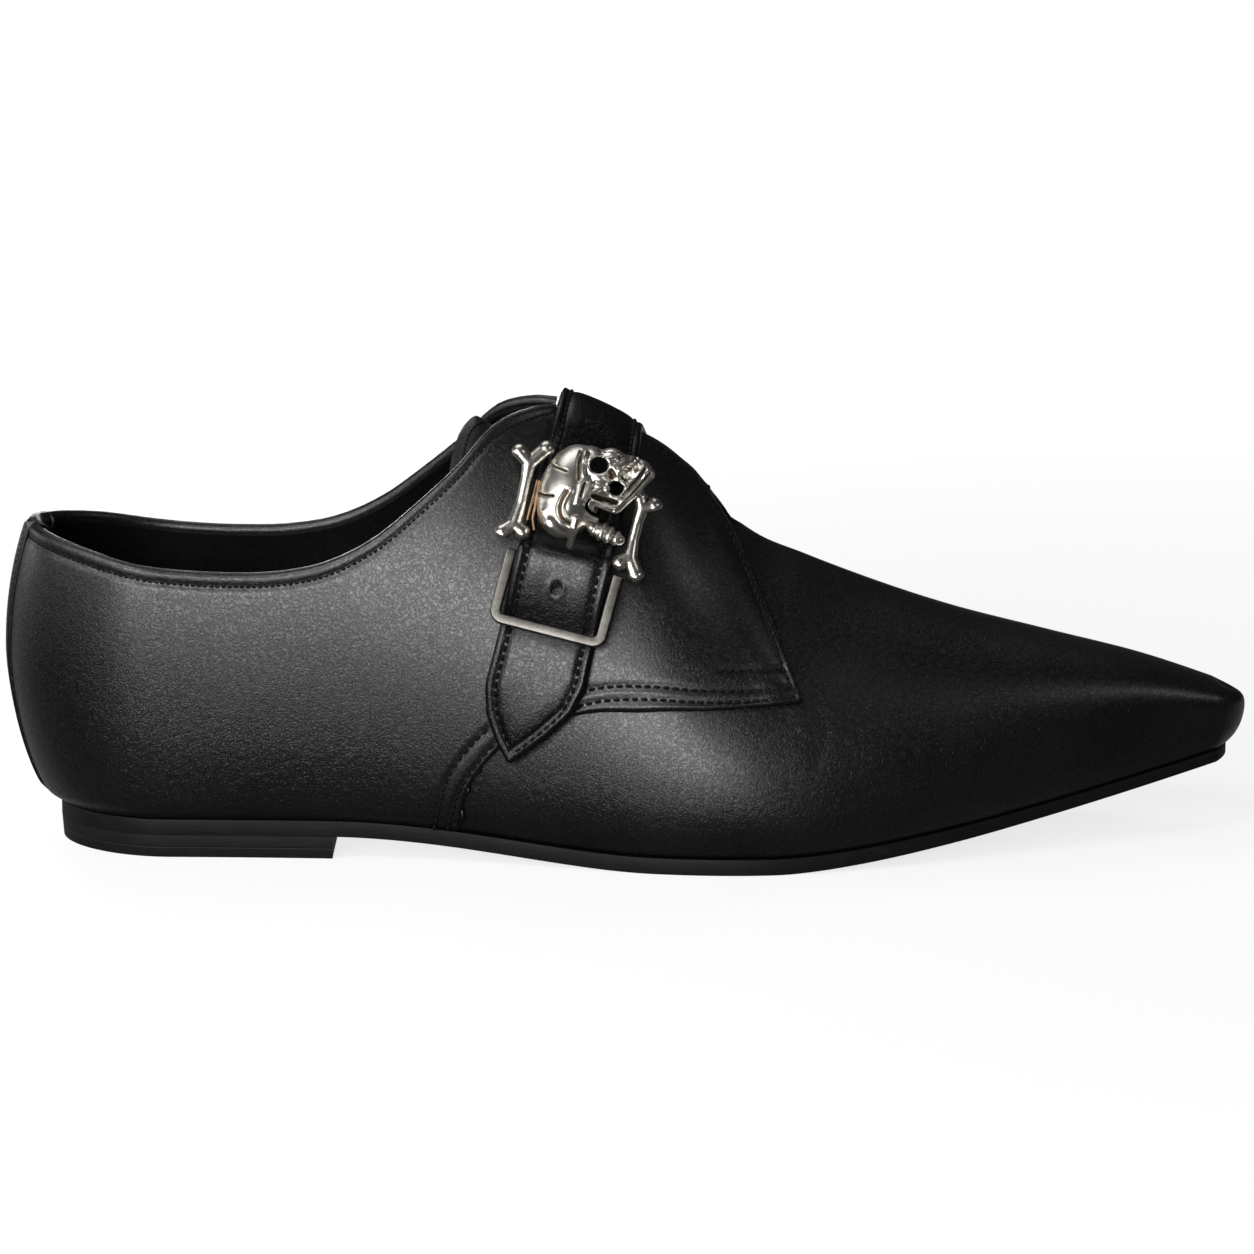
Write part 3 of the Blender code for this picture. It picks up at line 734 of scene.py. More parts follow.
SINK_FROM = 0.39
SINK_TO = 0.535
SINK_FADE = 0.04


def on_side(side, s, share, lift=0.0):
    return on_last(s, share if side < 0 else 2 - share, lift)


def at_run(line, run, at):
    """What a line's columns are after a run of so many millimetres."""
    return np.array([np.interp(at, run, column) for column in line.T])


def along(side, line, shares):
    """A line of (station, girth share) taken at shares of its length on the last."""
    run = run_of(on_side(side, line[:, 0], line[:, 1]))
    return at_run(line, run, shares * run[-1]).T


def under_collar(side, s, drop):
    """The line that runs drop millimetres below the collar, and beside the ridge where the flaps close."""
    points, shares, lengths = ribs(side, s)
    height = collar_height(side, s)
    edge = np.array([np.interp(height[i], points[i, :, 2], shares[i]) for i in range(len(s))])
    edge = np.where(s > COLLAR["s"][-1], 1.0, edge)
    return np.stack([s, np.minimum(edge, 1 - FLAPS_APART / 2 / lengths) - drop / lengths], axis=1)


def sunk(s, share):
    """How far the flaps sink beside the ridge, where the strap pulls them together."""
    under_strap = smooth((s - SINK_FROM) / SINK_FADE) * smooth((SINK_TO - s) / SINK_FADE)
    return INSTEP_SINK * hump(share - 1, SINK_WIDE) * under_strap


def rolled(points, before, out, radius, inside):
    """Rows that roll the last row of a sheet over its edge and down the inside by so many millimetres."""
    up = points - before
    up /= np.linalg.norm(up, axis=1, keepdims=True)
    rows = []
    for turn in np.linspace(0.15, 1.0, 9) * math.pi:
        rows.append(points + radius * ((math.cos(turn) - 1) * out + math.sin(turn) * up))
    for down in (0.4, 1.0):
        rows.append(points - 2 * radius * out - down * inside * up)
    return np.array(rows)


def quarter(side, name):
    """One side: a patch between the feather and flap edges below, the collar above and the front edge."""
    collar = under_collar(side, stations(0.0, FRONT_EDGE[-1][0], 1.2), COLLAR_DROP)
    heel_to_foot = stations(0.0, DERBY_FOOT, 1.2)
    feather = np.stack([heel_to_foot, 0 * heel_to_foot], axis=1)
    flap = trace(FLAP_EDGE)
    front = trace(FRONT_EDGE)
    # Columns and rows stand closer where an edge is rubbed round
    columns = np.concatenate([np.linspace(0, 0.992, 232), 1 - np.array([62, 46, 32, 20, 10, 4, 0]) / 10000])
    low_rows = [0, 0.002, 0.0045, 0.0075, 0.011, 0.015]
    high_rows = [0.978, 0.985, 0.991, 0.996, 1.0]
    rows = np.concatenate([low_rows, np.linspace(0.02, 0.97, 100), high_rows])[:, None, None]
    low = along(side, np.concatenate([feather, flap[1:]]), columns)
    high = along(side, collar, columns)
    bow = along(side, front, rows[:, 0, 0])
    bow = bow - ((1 - rows[:, 0]) * bow[0] + rows[:, 0] * bow[-1])
    patch = (1 - rows) * low + rows * high + columns[:, None] * bow[:, None]
    bare = on_side(side, patch[..., 0], patch[..., 1])
    free = np.concatenate([on_side(side, line[:, 0], line[:, 1]) for line in (flap, front)])
    round_off = 1 - np.clip(nearest(bare, free) / EDGE_ROUND, 0.0, 1.0)
    lift = EDGE_LIFT + (QUARTER_LIFT - EDGE_LIFT) * np.sqrt(1 - round_off ** 2)
    tuck = 1 - smooth(nearest(bare, on_side(side, feather[:, 0], feather[:, 1])) / FEATHER_TAPER)
    lift += (FEATHER_LIFT - lift) * tuck
    lift += (COLLAR_LIFT - QUARTER_LIFT) * (1 - smooth(nearest(bare, bare[-1]) / COLLAR_TAPER))
    lift -= sunk(patch[..., 0], patch[..., 1])
    from_front = nearest(bare, on_side(side, front[:, 0], front[:, 1]))
    lift += FLAP_SWELL * hump(from_front - SWELL_IN, SWELL_WIDE)
    for line in thread_lines(side):
        pull = nearest(bare, on_side(side, line[:, 0], line[:, 1]))
        lift -= STITCH_DEEP * hump(pull, STITCH_WIDE)
    points = on_side(side, patch[..., 0], patch[..., 1], lift)
    out = on_side(side, patch[-1, :, 0], patch[-1, :, 1], 1.0) - bare[-1]
    roll = rolled(points[-1], points[-2], out, COLLAR_ROUND, COLLAR_INSIDE)
    made = grid(name, np.concatenate([points, roll])[:, ::-side])
    apply(made, "SOLIDIFY", thickness=QUARTER_THICK * MM, offset=-1.0, use_rim=True)
    bpy.ops.object.shade_smooth()
    return made


def thread_lines(side):
    """The rows of thread on one quarter: derby edge, flap, bar, front edge and collar."""
    lines = [trace(picks) for picks in THREAD_ROWS]
    lines.append(under_collar(side, stations(0.004, 0.49, 1.2), COLLAR_ROW))
    return lines


STITCH_PITCH = 2.3
STITCH_LONG = 1.85
STITCH_THICK = 0.92
STITCH_HALF = 0.6
bpy.ops.object.select_all(action="DESELECT")
bpy.ops.mesh.primitive_uv_sphere_add(segments=8, ring_count=6, radius=0.5)
stitch = bpy.context.object
stitch.name = "stitch"
bpy.ops.object.mode_set(mode="EDIT")
bpy.ops.mesh.select_all(action="SELECT")
bpy.ops.transform.resize(value=(STITCH_THICK * MM, STITCH_THICK * MM, STITCH_LONG * MM))
bpy.ops.object.mode_set(mode="OBJECT")
bpy.ops.object.shade_smooth()
thread_look, thread_shader, place = finish("black_thread", {"Specular IOR Level": 0.14})
strands = {"Vector": place, "Scale": 1.6, "Distortion": 1.0}
twist = place.node("TexWave", {"bands_direction": "DIAGONAL"}, strands)
feed(
    thread_shader,
    colour=twist.mixed((0.0015, 0.0015, 0.0015), (0.004, 0.004, 0.004)),
    roughness=0.5 + 0.2 * twist,
    normal=bumped(twist, 0.6, 0.1),
)
stitch.data.materials.append(thread_look)


def sew(name, lines):
    """Stitches copied along lines: points, the direction out of the leather, and the size of a stitch."""
    copies = []
    for points, outs, size in lines:
        run = run_of(points)
        for at in np.arange(STITCH_PITCH / 2, run[-1], STITCH_PITCH * size):
            ends = [at_run(points, run, at + reach) for reach in (-STITCH_HALF, STITCH_HALF)]
            way = Vector(ends[1] - ends[0]).normalized()
            across = Vector(at_run(outs, run, at)).cross(way).normalized()
            turn = Matrix((across, way.cross(across), way)).transposed().to_4x4()
            here = Matrix.Translation((at_run(points, run, at) - SHOE_MIDDLE) * MM)
            copy = stitch.copy()
            copy.data = stitch.data.copy()
            copy.matrix_world = here @ turn @ Matrix.Scale(size, 4)
            bpy.context.scene.collection.objects.link(copy)
            copies.append(copy)
    made = joined(copies)
    made.name = name
    made.data.name = name
    bpy.ops.object.transform_apply()
    fit(made)


quarter_look = leather("quarter_leather", CALF_DARK, CALF_LIGHT, 0.33, 1.1, 0.14)
for side, name in ((-1, "quarter_lateral"), (1, "quarter_medial")):
    made = quarter(side, name)
    made.data.materials.append(quarter_look)
    fit(made, name)
    rows = []
    for k, line in enumerate(thread_lines(side)):
        raised = QUARTER_LIFT - STITCH_DEEP + THREAD_PROUD - sunk(line[:, 0], line[:, 1])
        fine = 1.0
        if k == len(THREAD_ROWS):
            rolls = 1 - smooth((COLLAR_ROW - COLLAR_DROP) / COLLAR_TAPER)
            raised = raised + (COLLAR_LIFT - QUARTER_LIFT) * rolls
            fine = COLLAR_FINE
        points = on_side(side, line[:, 0], line[:, 1], raised)
        rows.append((points, on_side(side, line[:, 0], line[:, 1], raised + 1) - points, fine))
    sew("thread_" + name, rows)
TONGUE_ROW = 0.0085
TONGUE_THREAD = 0.05
girth = np.linspace(1 - TONGUE_REACH, 1 + TONGUE_REACH, 120)
points = on_tongue(TONGUE_FROM + TONGUE_ROW + 0 * girth, girth, TONGUE_THREAD)
outs = on_tongue(TONGUE_FROM + TONGUE_ROW + 0 * girth, girth, TONGUE_THREAD + 1) - points
sew("thread_tongue", [(points, outs, COLLAR_FINE)])

# Back strip: a narrow strip of calf over the seam where the quarters meet, wider at the top, where it
# is folded over the collar and stitched down.
STRIP_LIFT = 2.75
STRIP_THICK = 0.85
STRIP_TOP_HALF = 7.4
STRIP_LOW_HALF = 4.6
STRIP_ROUND = 0.9
STRIP_EDGE_LIFT = 1.65
STRIP_ROW = 1.9
STRIP_ROW_START = 6
STRIP_FOOT = 0.05
STRIP_FOOT_TUCK = 1.505
STRIP_ROLL = 2.575
STRIP_INSIDE = 7.0
STRIP_THREAD = 0.1
HEEL_HALF = SECTIONS["lateral"][0]


def round_heel(wide):
    """The station that lies wide millimetres round the heel from the back seam."""
    return (wide / HEEL_HALF) ** 2 / 2 * HEEL_CAP / (LENGTH - HEEL_BACK)


turns = np.concatenate([[1.0, 0.985, 0.96, 0.92], np.linspace(0.87, -0.87, 33), [-0.92, -0.96, -0.985, -1.0]])
share = np.linspace(0.0, 1.0, 90)[:, None] * under_collar(-1, np.array([0.0]), COLLAR_DROP)[0, 1]
half = STRIP_LOW_HALF + (STRIP_TOP_HALF - STRIP_LOW_HALF) * smooth(share / share[-1])
s = round_heel(half * turns)
girth = np.where(turns < 0, share, 2 - share)
to_edge = half * (1 - np.abs(turns))
round_off = 1 - np.clip(to_edge / STRIP_ROUND, 0, 1)
lift = STRIP_EDGE_LIFT + (STRIP_LIFT - STRIP_EDGE_LIFT) * np.sqrt(1 - round_off ** 2)
lift -= STITCH_DEEP * hump(to_edge - STRIP_ROW, STITCH_WIDE)
lift -= STRIP_FOOT_TUCK * (1 - smooth(share / STRIP_FOOT))
bare = on_last(s, girth)
points = on_last(s, girth, lift)
out = points[-1] - bare[-1]
out /= np.linalg.norm(out, axis=1, keepdims=True)
roll = rolled(points[-1], points[-2], out, STRIP_ROLL, STRIP_INSIDE)
back_strip = grid("back_strip", np.concatenate([points, roll]))
back_strip.data.materials.append(leather("strip_leather", CALF_DARK, CALF_LIGHT, 0.33, 1.1, 0.12))
apply(back_strip, "SOLIDIFY", thickness=STRIP_THICK * MM, offset=-1.0)
bpy.ops.object.shade_smooth()
fit(back_strip, "back_strip")
rows = []
s = round_heel(half[STRIP_ROW_START:, 0] - STRIP_ROW)
share = share[STRIP_ROW_START:, 0]
for girth in (share, 2 - share):
    points = on_last(s, girth, STRIP_LIFT - STITCH_DEEP + STRIP_THREAD)
    rows.append((points, on_last(s, girth, STRIP_LIFT + 1) - points, COLLAR_FINE))
sew("thread_back_strip", rows)

# Strap: two layers of calf sewn together round their edge, fixed under the medial quarter's side, and
# run over the instep and through the buckle to a point. It rises in a roll inside the buckle's frame.
STRAP_LOW = 1.75
STRAP_HIGH = 4.7
STRAP_ROUND = 1.1
STRAP_CUT = 0.42
STRAP_THICK = 1.6
STRAP_ROW = 2.7
STRAP_ROW_DEEP = 0.42
STRAP_ROW_WIDE = 0.75
STRAP_ROW_LEAST = 6.2
STRAP_THREAD = 0.2
STRAP_SWELL = 0.25
STRAP_SWELL_RISE = 4.0
ROLL_GIRTH = 0.588
ROLL_HALF = 0.035
ROLL_HIGH = 4.3
ROLL_POWER = 1.25
BAR_GIRTH = 0.452
BAR_HALF = 0.03
BAR_DEEP = 0.45
STRAP_SINK = 2.2
STRAP_SINK_HALF = 0.09
STRAP_END_ROW = -4
CORNER_SOFT = 3.0
CORNER_REACH = 8
STRAP = table(
    "rear_s rear_girth front_s front_girth",
    (0.4025, 0.178, 0.4055, 0.174),
    (0.3935, 0.215, 0.4300, 0.228),
    (0.3860, 0.262, 0.4544, 0.290),
    (0.3850, 0.320, 0.4655, 0.350),
    (0.3930, 0.400, 0.4685, 0.395),
    (0.4000, 0.480, 0.4735, 0.455),
    (0.4140, 0.650, 0.4850, 0.620),
    (0.4290, 0.815, 0.4975, 0.790),
    (0.4377, 0.950, 0.5030, 0.930),
    (0.4440, 1.080, 0.5080, 1.060),
    (0.4560, 1.250, 0.5200, 1.230),
    (0.4680, 1.420, 0.5330, 1.400),
)
HOLE_S = 0.4412
HOLE_GIRTH = 0.527
HOLE_HALF = 1.3
HOLE_RING = 2.0
HOLE_RING_HALF = 0.4
HOLE_RING_HIGH = 0.22
HOLE_DIP = 0.30
HOLE_DIP_FROM = 1.1
HOLE_DIP_FADE = 0.5
STRAP_TOP = 5.1
STRAP_LEAN = 0.062


def seat(s, share, lift):
    """A place on the strap, as a matrix from its own millimetres: Z out of the leather, Y up the strap."""
    step = 0.004
    here = Vector(on_last(s, share, STRAP_TOP + lift))
    out = Vector(on_last(s, share, 1.0) - on_last(s, share, 0.0)).normalized()
    up = Vector(on_last(s + step * STRAP_LEAN, share + step) - on_last(s, share))
    across = up.cross(out).normalized()
    turn = Matrix((across, out.cross(across), out)).transposed().to_4x4()
    return Matrix.Scale(MM, 4) @ Matrix.Translation(here - Vector(SHOE_MIDDLE)) @ turn


def strap_rise(girth):
    """How far the strap rises in its roll, which is steep under the ornament and easy down to the bar,
    and sinks under that bar and at the ridge."""
    above = hump(np.clip(girth - ROLL_GIRTH, 0.0, None), ROLL_HALF)
    below = np.clip((ROLL_GIRTH - girth) / (ROLL_GIRTH - BAR_GIRTH), 0.0, 1.0)
    sunk_in = BAR_DEEP * hump(girth - BAR_GIRTH, BAR_HALF) + STRAP_SINK * hump(girth - 1, STRAP_SINK_HALF)
    return ROLL_HIGH * above * (1 - below ** ROLL_POWER) - sunk_in


def across_strap(share, kept=slice(None)):
    """Stations and girths at a share of the way from the strap's rear edge to its front edge."""
    s = edges["rear_s"] + (edges["front_s"] - edges["rear_s"]) * share
    girth = edges["rear_girth"] + (edges["front_girth"] - edges["rear_girth"]) * share
    return s[..., kept], girth[..., kept]


# The strap's edges through the rows of the table, with their corners rubbed soft
row = np.concatenate([np.linspace(0, 4, 110), np.linspace(4, 11, 150)[1:]])
edges = {name: np.interp(row, np.arange(len(column)), column) for name, column in STRAP.items()}
corner = np.exp(-0.5 * (np.arange(-CORNER_REACH, CORNER_REACH + 1) / CORNER_SOFT) ** 2)
for name, line in edges.items():
    before = 2 * line[0] - line[CORNER_REACH:0:-1]
    after = 2 * line[-1] - line[-2:-CORNER_REACH - 2:-1]
    padded = np.concatenate([before, line, after])
    edges[name] = np.convolve(padded, corner / corner.sum(), mode="valid")
near_edge = np.array([0, 0.006, 0.016, 0.03, 0.046])
shares = np.concatenate([near_edge, np.linspace(0.065, 0.935, 42), 1 - near_edge[::-1]])
s, girth = across_strap(shares[:, None])
bare = on_last(s, girth)
rim = np.concatenate([bare[0], bare[-1], bare[:, 0], bare[:, -1]])
in_from = nearest(bare, rim)
round_off = 1 - np.clip(in_from / STRAP_ROUND, 0, 1)
lift = STRAP_LOW + (STRAP_HIGH - STRAP_LOW) * (STRAP_CUT + (1 - STRAP_CUT) * np.sqrt(1 - round_off ** 2))
lift -= STRAP_ROW_DEEP * hump(in_from - STRAP_ROW, STRAP_ROW_WIDE)
lift += STRAP_SWELL * smooth((in_from - STRAP_ROW) / STRAP_SWELL_RISE)
lift += strap_rise(girth)
hole = np.linalg.norm(bare - on_last(np.array(HOLE_S), np.array(HOLE_GIRTH)), axis=2)
lift += HOLE_RING_HIGH * hump(hole - HOLE_RING, HOLE_RING_HALF)
lift -= HOLE_DIP * (1 - smooth((hole - HOLE_DIP_FROM) / HOLE_DIP_FADE))
strap = grid("strap", on_last(s, girth, lift)[::-1])
strap_look = leather("strap_leather", CALF_DARK, (0.0026, 0.0026, 0.0027), 0.26, 1.2, 0.14, 0.5)
strap.data.materials.append(strap_look)
apply(strap, "SOLIDIFY", thickness=STRAP_THICK * MM, offset=-1.0)
bpy.ops.mesh.primitive_cylinder_add(vertices=32, radius=HOLE_HALF, depth=12.0)
punch = bpy.context.object
punch.data.transform(seat(HOLE_S, HOLE_GIRTH, 0.0))
apply(strap, "BOOLEAN", operation="DIFFERENCE", object=punch, solver="EXACT")
bpy.data.objects.remove(punch)
bpy.ops.object.shade_smooth_by_angle(angle=SMOOTHED)
fit(strap, "strap")
wide = np.linalg.norm(bare[-1] - bare[0], axis=1)
in_row = STRAP_ROW / wide
lines = [across_strap(share, wide > STRAP_ROW_LEAST) for share in (in_row, 1 - in_row)]
lines.append(across_strap(np.linspace(in_row[-1], 1 - in_row[-1], 40)[:, None], STRAP_END_ROW))
rows = []
for s, girth in lines:
    raised = STRAP_HIGH - STRAP_THREAD + strap_rise(girth)
    points = on_last(s, girth, raised)
    rows.append((points, on_last(s, girth, raised + 1) - points, 1.0))
sew("thread_strap", rows)
bpy.data.objects.remove(stitch)

# Buckle frame: a flat steel bar bent square with round corners, its edges rolled smooth, plated in
# antique silver. It lies on the strap; its upper bar, hidden behind the ornament, is left out.
FRAME_SEAT = (0.4415, 0.545, 0.25)
FRAME_WIDE = 29.6
FRAME_TALL = 27.0
FRAME_BAR = 2.6
FRAME_THICK = 1.7
FRAME_CORNER = 3.5
FRAME_EDGE = 0.45
ARM_TOP = 5.4
FRAME_SHIFT = (0.6, -0.5, 0.0)
FRAME_TURN = math.radians(-5.7)


def plated(name, bright, dull, gloss, patina):
    """Antique silver: polished where it stands out, brown in the recesses that the mesh records."""
    made, shader, place = finish(name, {"Metallic": 1.0})
    recess = place.node("Attribute", {"attribute_name": "recess"}, out=2)
    tarnish = place.noise(0.25, 4.0, 0.6)
    dark = (recess + 0.35 * (tarnish - 0.5)).between(0.10, 0.50)
    fine = place.noise(2.2, 3.0, 0.6)
    clean = (tarnish * 0.6 + fine * 0.4).between(0.35, 0.65).mixed(dull, bright)
    colour = dark.node("Mix", {"data_type": "RGBA"}, {0: dark, 6: clean, 7: (*patina, 1.0)}, out=2)
    feed(
        shader,
        colour=colour,
        roughness=gloss + 0.10 * fine + 0.25 * dark,
        normal=bumped(fine, 0.12, 0.05),
    )
    return made


def points_of(mesh, what):
    """The places (co) or the normals of a mesh's points."""
    found = np.empty(len(mesh.vertices) * 3)
    mesh.vertices.foreach_get(what, found)
    return found.reshape(-1, 3)


def record_recesses(made, reach):
    """Keeps on each point how far it lies in a hollow, as an attribute that the plating reads."""
    mesh = made.data
    count = len(mesh.vertices)
    places = points_of(mesh, "co")
    ends = np.empty(len(mesh.edges) * 2, int)
    mesh.edges.foreach_get("vertices", ends)
    a, b = ends.reshape(-1, 2).T
    share = np.bincount(a, minlength=count) + np.bincount(b, minlength=count)
    soft = places.copy()
    for turn in range(reach):
        total = np.zeros_like(soft)
        for k in range(3):
            total[:, k] = np.bincount(a, soft[b, k], count) + np.bincount(b, soft[a, k], count)
        soft = total / np.maximum(share, 1)[:, None]
    depth = ((soft - places) * points_of(mesh, "normal")).sum(axis=1)
    spread = np.percentile(np.abs(depth), 97) + TINY
    recess = mesh.attributes.new("recess", "FLOAT", "POINT")
    recess.data.foreach_set("value", np.clip(depth / spread, 0.0, 1.0).astype(np.float32))


def settle(made, name, place_on_strap, look, reach, node=None):
    """Puts a finished buckle piece on the strap, with its look and its body, and hides the CAD node it stands
    for.
    """
    made.name = name
    made.data.name = name
    record_recesses(made, reach)
    made.data.transform(place_on_strap)
    made.data.materials.clear()
    made.data.materials.append(look)
    fit(made, node)


bpy.ops.object.select_all(action="DESELECT")
bpy.ops.mesh.primitive_plane_add(size=1.0)
buckle_frame = bpy.context.object
buckle_frame.scale = (FRAME_WIDE, FRAME_TALL, 1.0)
bpy.ops.object.transform_apply()
bpy.ops.object.mode_set(mode="EDIT")
bpy.ops.mesh.select_all(action="SELECT")
bpy.ops.mesh.bevel(offset=FRAME_CORNER, segments=10, affect="VERTICES")
bpy.ops.mesh.select_all(action="SELECT")
bpy.ops.mesh.inset(thickness=FRAME_BAR)
bpy.ops.mesh.delete(type="FACE")
bpy.ops.mesh.select_all(action="SELECT")
bpy.ops.mesh.bisect(plane_co=(0.0, ARM_TOP, 0.0), plane_no=(0.0, 1.0, 0.0), clear_outer=True)
bpy.ops.object.mode_set(mode="OBJECT")
apply(buckle_frame, "SOLIDIFY", thickness=FRAME_THICK, offset=1.0)
apply(buckle_frame, "BEVEL", width=FRAME_EDGE, segments=4, limit_method="ANGLE", angle_limit=SHARP)
bpy.ops.object.shade_smooth_by_angle(angle=SMOOTHED)
frame_look = plated("frame_silver", (0.14, 0.133, 0.121), (0.08, 0.076, 0.068), 0.30, (0.09, 0.065, 0.045))
frame_place = seat(*FRAME_SEAT) @ Matrix.Translation(FRAME_SHIFT) @ Matrix.Rotation(FRAME_TURN, 4, "Z")
settle(buckle_frame, "buckle_frame", frame_place, frame_look, 3, "buckle_frame")

# Bones: two cast in the same antique silver, soldered upright beside the ornament. Each has a slim
# shaft that flares into two round knobs at either end.
ORNAMENT = (0.4640, 0.715, 3.75)
CASTING_LEAN = Vector((0.0070445, -0.9831158, 0.1828490))
CAST_VOXEL = 0.17
KNOB = 2.1
ARM = 1.95

# The casting's seat on the strap, its depth leaning outwards
ornament_place = seat(*ORNAMENT)
out = ornament_place.col[2].to_3d()
ornament_place.col[2] = (*(CASTING_LEAN * out.length_squared / CASTING_LEAN.dot(out)), 0.0)


def ball(x, y, z, half_wide, half_tall=None, deep=None, turn=0.0, segments=28):
    """A ball pressed to its half sizes, in the ornament's own millimetres."""
    bpy.ops.object.select_all(action="DESELECT")
    bpy.ops.mesh.primitive_uv_sphere_add(segments=segments, ring_count=segments * 2 // 3, radius=1.0)
    made = bpy.context.object
    size = Matrix.Diagonal((half_wide, half_tall or half_wide, deep or half_wide, 1.0))
    made.data.transform(Matrix.Translation((x, y, z)) @ Matrix.Rotation(math.radians(turn), 4, "Z") @ size)
    return made


def beads(line, radii, spacing=0.35):
    """Balls strung along a line of points, close enough to melt into a smooth rod."""
    line = np.array(line, float)
    run = run_of(line)
    made = []
    for at in np.linspace(0, run[-1], max(2, int(run[-1] / spacing))):
        made.append(ball(*at_run(line, run, at), np.interp(at, run, radii), segments=12))
    return made


def melt(pieces, voxel, rounds):
    """Joins pieces, melts them into one skin and rubs it smooth."""
    made = joined(pieces)
    apply(made, "REMESH", mode="VOXEL", voxel_size=voxel)
    if rounds:
        apply(made, "SMOOTH", factor=0.5, iterations=rounds)
    bpy.ops.object.shade_smooth()
    return made


def bone(name, top, shaft, bottom, height, waist):
    """A bone: knobs at its top and bottom, and a shaft that is slimmest at its waist."""
    line = [(x, y, height) for x, y in shaft]
    pieces = beads(line, (ARM, waist, waist, ARM))
    for end, knobs in ((line[0], top), (line[-1], bottom)):
        for knob in knobs:
            pieces += beads([end, (*knob, height)], (ARM, ARM))
            pieces.append(ball(*knob, height, KNOB, segments=20))
    settle(melt(pieces, CAST_VOXEL, 26), name, ornament_place, bone_look, 8, name)


bone_look = plated("bone_silver", (0.80, 0.77, 0.71), (0.58, 0.55, 0.49), 0.24, (0.10, 0.065, 0.04))
bone(
    "buckle_bone_rear",
    [(-19.2, 8.2), (-12.8, 10.4)],
    [(-16.3, 5.6), (-16.35, 1.5), (-16.5, -5.5), (-17.2, -11.2)],
    [(-19.6, -13.8), (-14.9, -12.8)],
    -0.45,
    1.5,
)
bone(
    "buckle_bone_front",
    [(15.8, 0.8), (11.9, 2.2)],
    [(13.0, -0.4), (12.5, -4.5), (12.2, -9.5), (12.1, -14.2)],
    [(10.0, -16.0), (14.4, -18.3)],
    -0.85,
    1.45,
)

# Ornament: a skull, a common mourning emblem, cast in one piece with an open back, polished, and left
# brown in its hollows. Its crown is to the rear, its face to the front and its jaw hangs open.
SKULL_BACK = -1.2
EYES = ((0.6, 8.4, 2.35), (5.8, 3.2, 2.05))
EYE_RIM = 0.45
EYE_RIM_HIGH = 0.35
SLIT = [
    *((-0.4, -0.8), (-0.75, -1.6), (-0.85, -2.5), (-0.6, -3.3)),
    *((0.0, -4.0), (0.9, -4.5), (2.0, -4.8), (3.2, -4.9)),
]
SLIT_HALF = 0.62
CUT_HIGH = 4.0
CUT_DEEP = 14.0
HOOK_HALF = 0.75
TEETH = 7
TEETH_FROM = np.array([6.45, 7.1])
TEETH_RUN = np.array([3.3, 5.3])
TEETH_LOWER = np.array([1.0, -0.65])
TOOTH = (0.44, 0.33, 0.60)
TOOTH_PROUD = 0.1
TOOTH_TURN = -32.0


def rod(line, radius):
    """A rod with a round section along points of (x, y, z)."""
    return beads(line, [radius] * len(line), 0.5 * radius)


def cut(made, tool):
    apply(made, "BOOLEAN", operation="DIFFERENCE", object=tool, solver="EXACT")
    bpy.data.objects.remove(tool)


def pressed(made, line, wide, deep):
    """A stroke along a line of (x, y): pushes the front in by deep, or raises it where deep is negative."""
    places = points_of(made.data, "co")
    normals = points_of(made.data, "normal")
    line = np.array(line, float)
    run = run_of(line)
    fine = np.linspace(0, run[-1], 80)
    path = at_run(line, run, fine)
    if len(line) > 2:
        path = np.array([through(run, column, fine) for column in line.T])
    away = np.sqrt(((places[:, None, :2] - path.T) ** 2).sum(axis=2).min(axis=1))
    front = smooth((normals[:, 2] + 0.15) / 0.5)
    move_points(made, places - (deep * hump(away, wide) * front)[:, None] * normals)


def front_height(made, x, y):
    return made.ray_cast((x, y, 30.0), (0.0, 0.0, -1.0))[1].z


HOOK = [(3.7, 2.7, 5.4), (0.7, 1.4, 6.2), (-0.9, -0.3, 6.3), (-1.7, -2.2, 6.2), (-1.6, -3.9, 5.8),
        (-0.4, -5.1, 5.2), (1.0, -5.8, 4.4), (2.3, -5.9, 4.0)]
skull = melt(
    [
        ball(-5.0, 0.2, 0.0, 7.9, 13.0, 8.4, -6.0, 48),
        ball(-6.0, -5.0, 0.0, 6.6, 7.8, 7.8, 10.0, 40),
        ball(-1.6, 9.0, 0.0, 5.0, 4.3, 7.0, 0.0, 40),
        ball(3.5, 10.8, 0.6, 3.3, 3.0, 5.8, 0.0, 40),
        ball(1.2, 5.0, 0.4, 5.2, 6.4, 6.6, 0.0, 40),
        ball(5.6, 8.6, 0.4, 4.6, 4.0, 6.0, 30.0, 40),
        ball(8.6, 9.2, 0.2, 3.6, 3.6, 5.2, 30.0, 40),
        ball(10.8, 9.2, 0.2, 3.4, 3.0, 4.4, -35.0, 32),
        ball(5.4, 3.4, 0.4, 3.8, 3.8, 5.2, 0.0, 40),
        *beads([(12.6, 8.6, 1.2), (9.6, 3.4, 1.8), (6.4, -2.0, 1.8)], (2.1, 2.0, 1.7)),
        *beads([(10.8, 8.6, 2.2), (8.8, 5.0, 2.8), (6.8, 0.8, 2.6)], (1.8, 1.7, 1.5)),
        *beads([(6.4, -2.2, 2.4), (3.2, -1.8, 4.0), (0.7, -1.2, 5.0)], (1.4, 1.25, 1.0)),
    ],
    CAST_VOXEL * 1.4,
    12,
)
openings = [ball(x, y, CUT_HIGH, wide, wide, CUT_DEEP, 0.0, 32) for x, y, wide in EYES]
openings += [ball(x, y, CUT_HIGH, SLIT_HALF, SLIT_HALF, CUT_DEEP, 0.0, 12) for x, y in SLIT]
cut(skull, melt(openings, 0.2, 1))
skull = melt([skull] + beads(HOOK, [HOOK_HALF] * len(HOOK)), CAST_VOXEL, 4)
bpy.ops.object.mode_set(mode="EDIT")
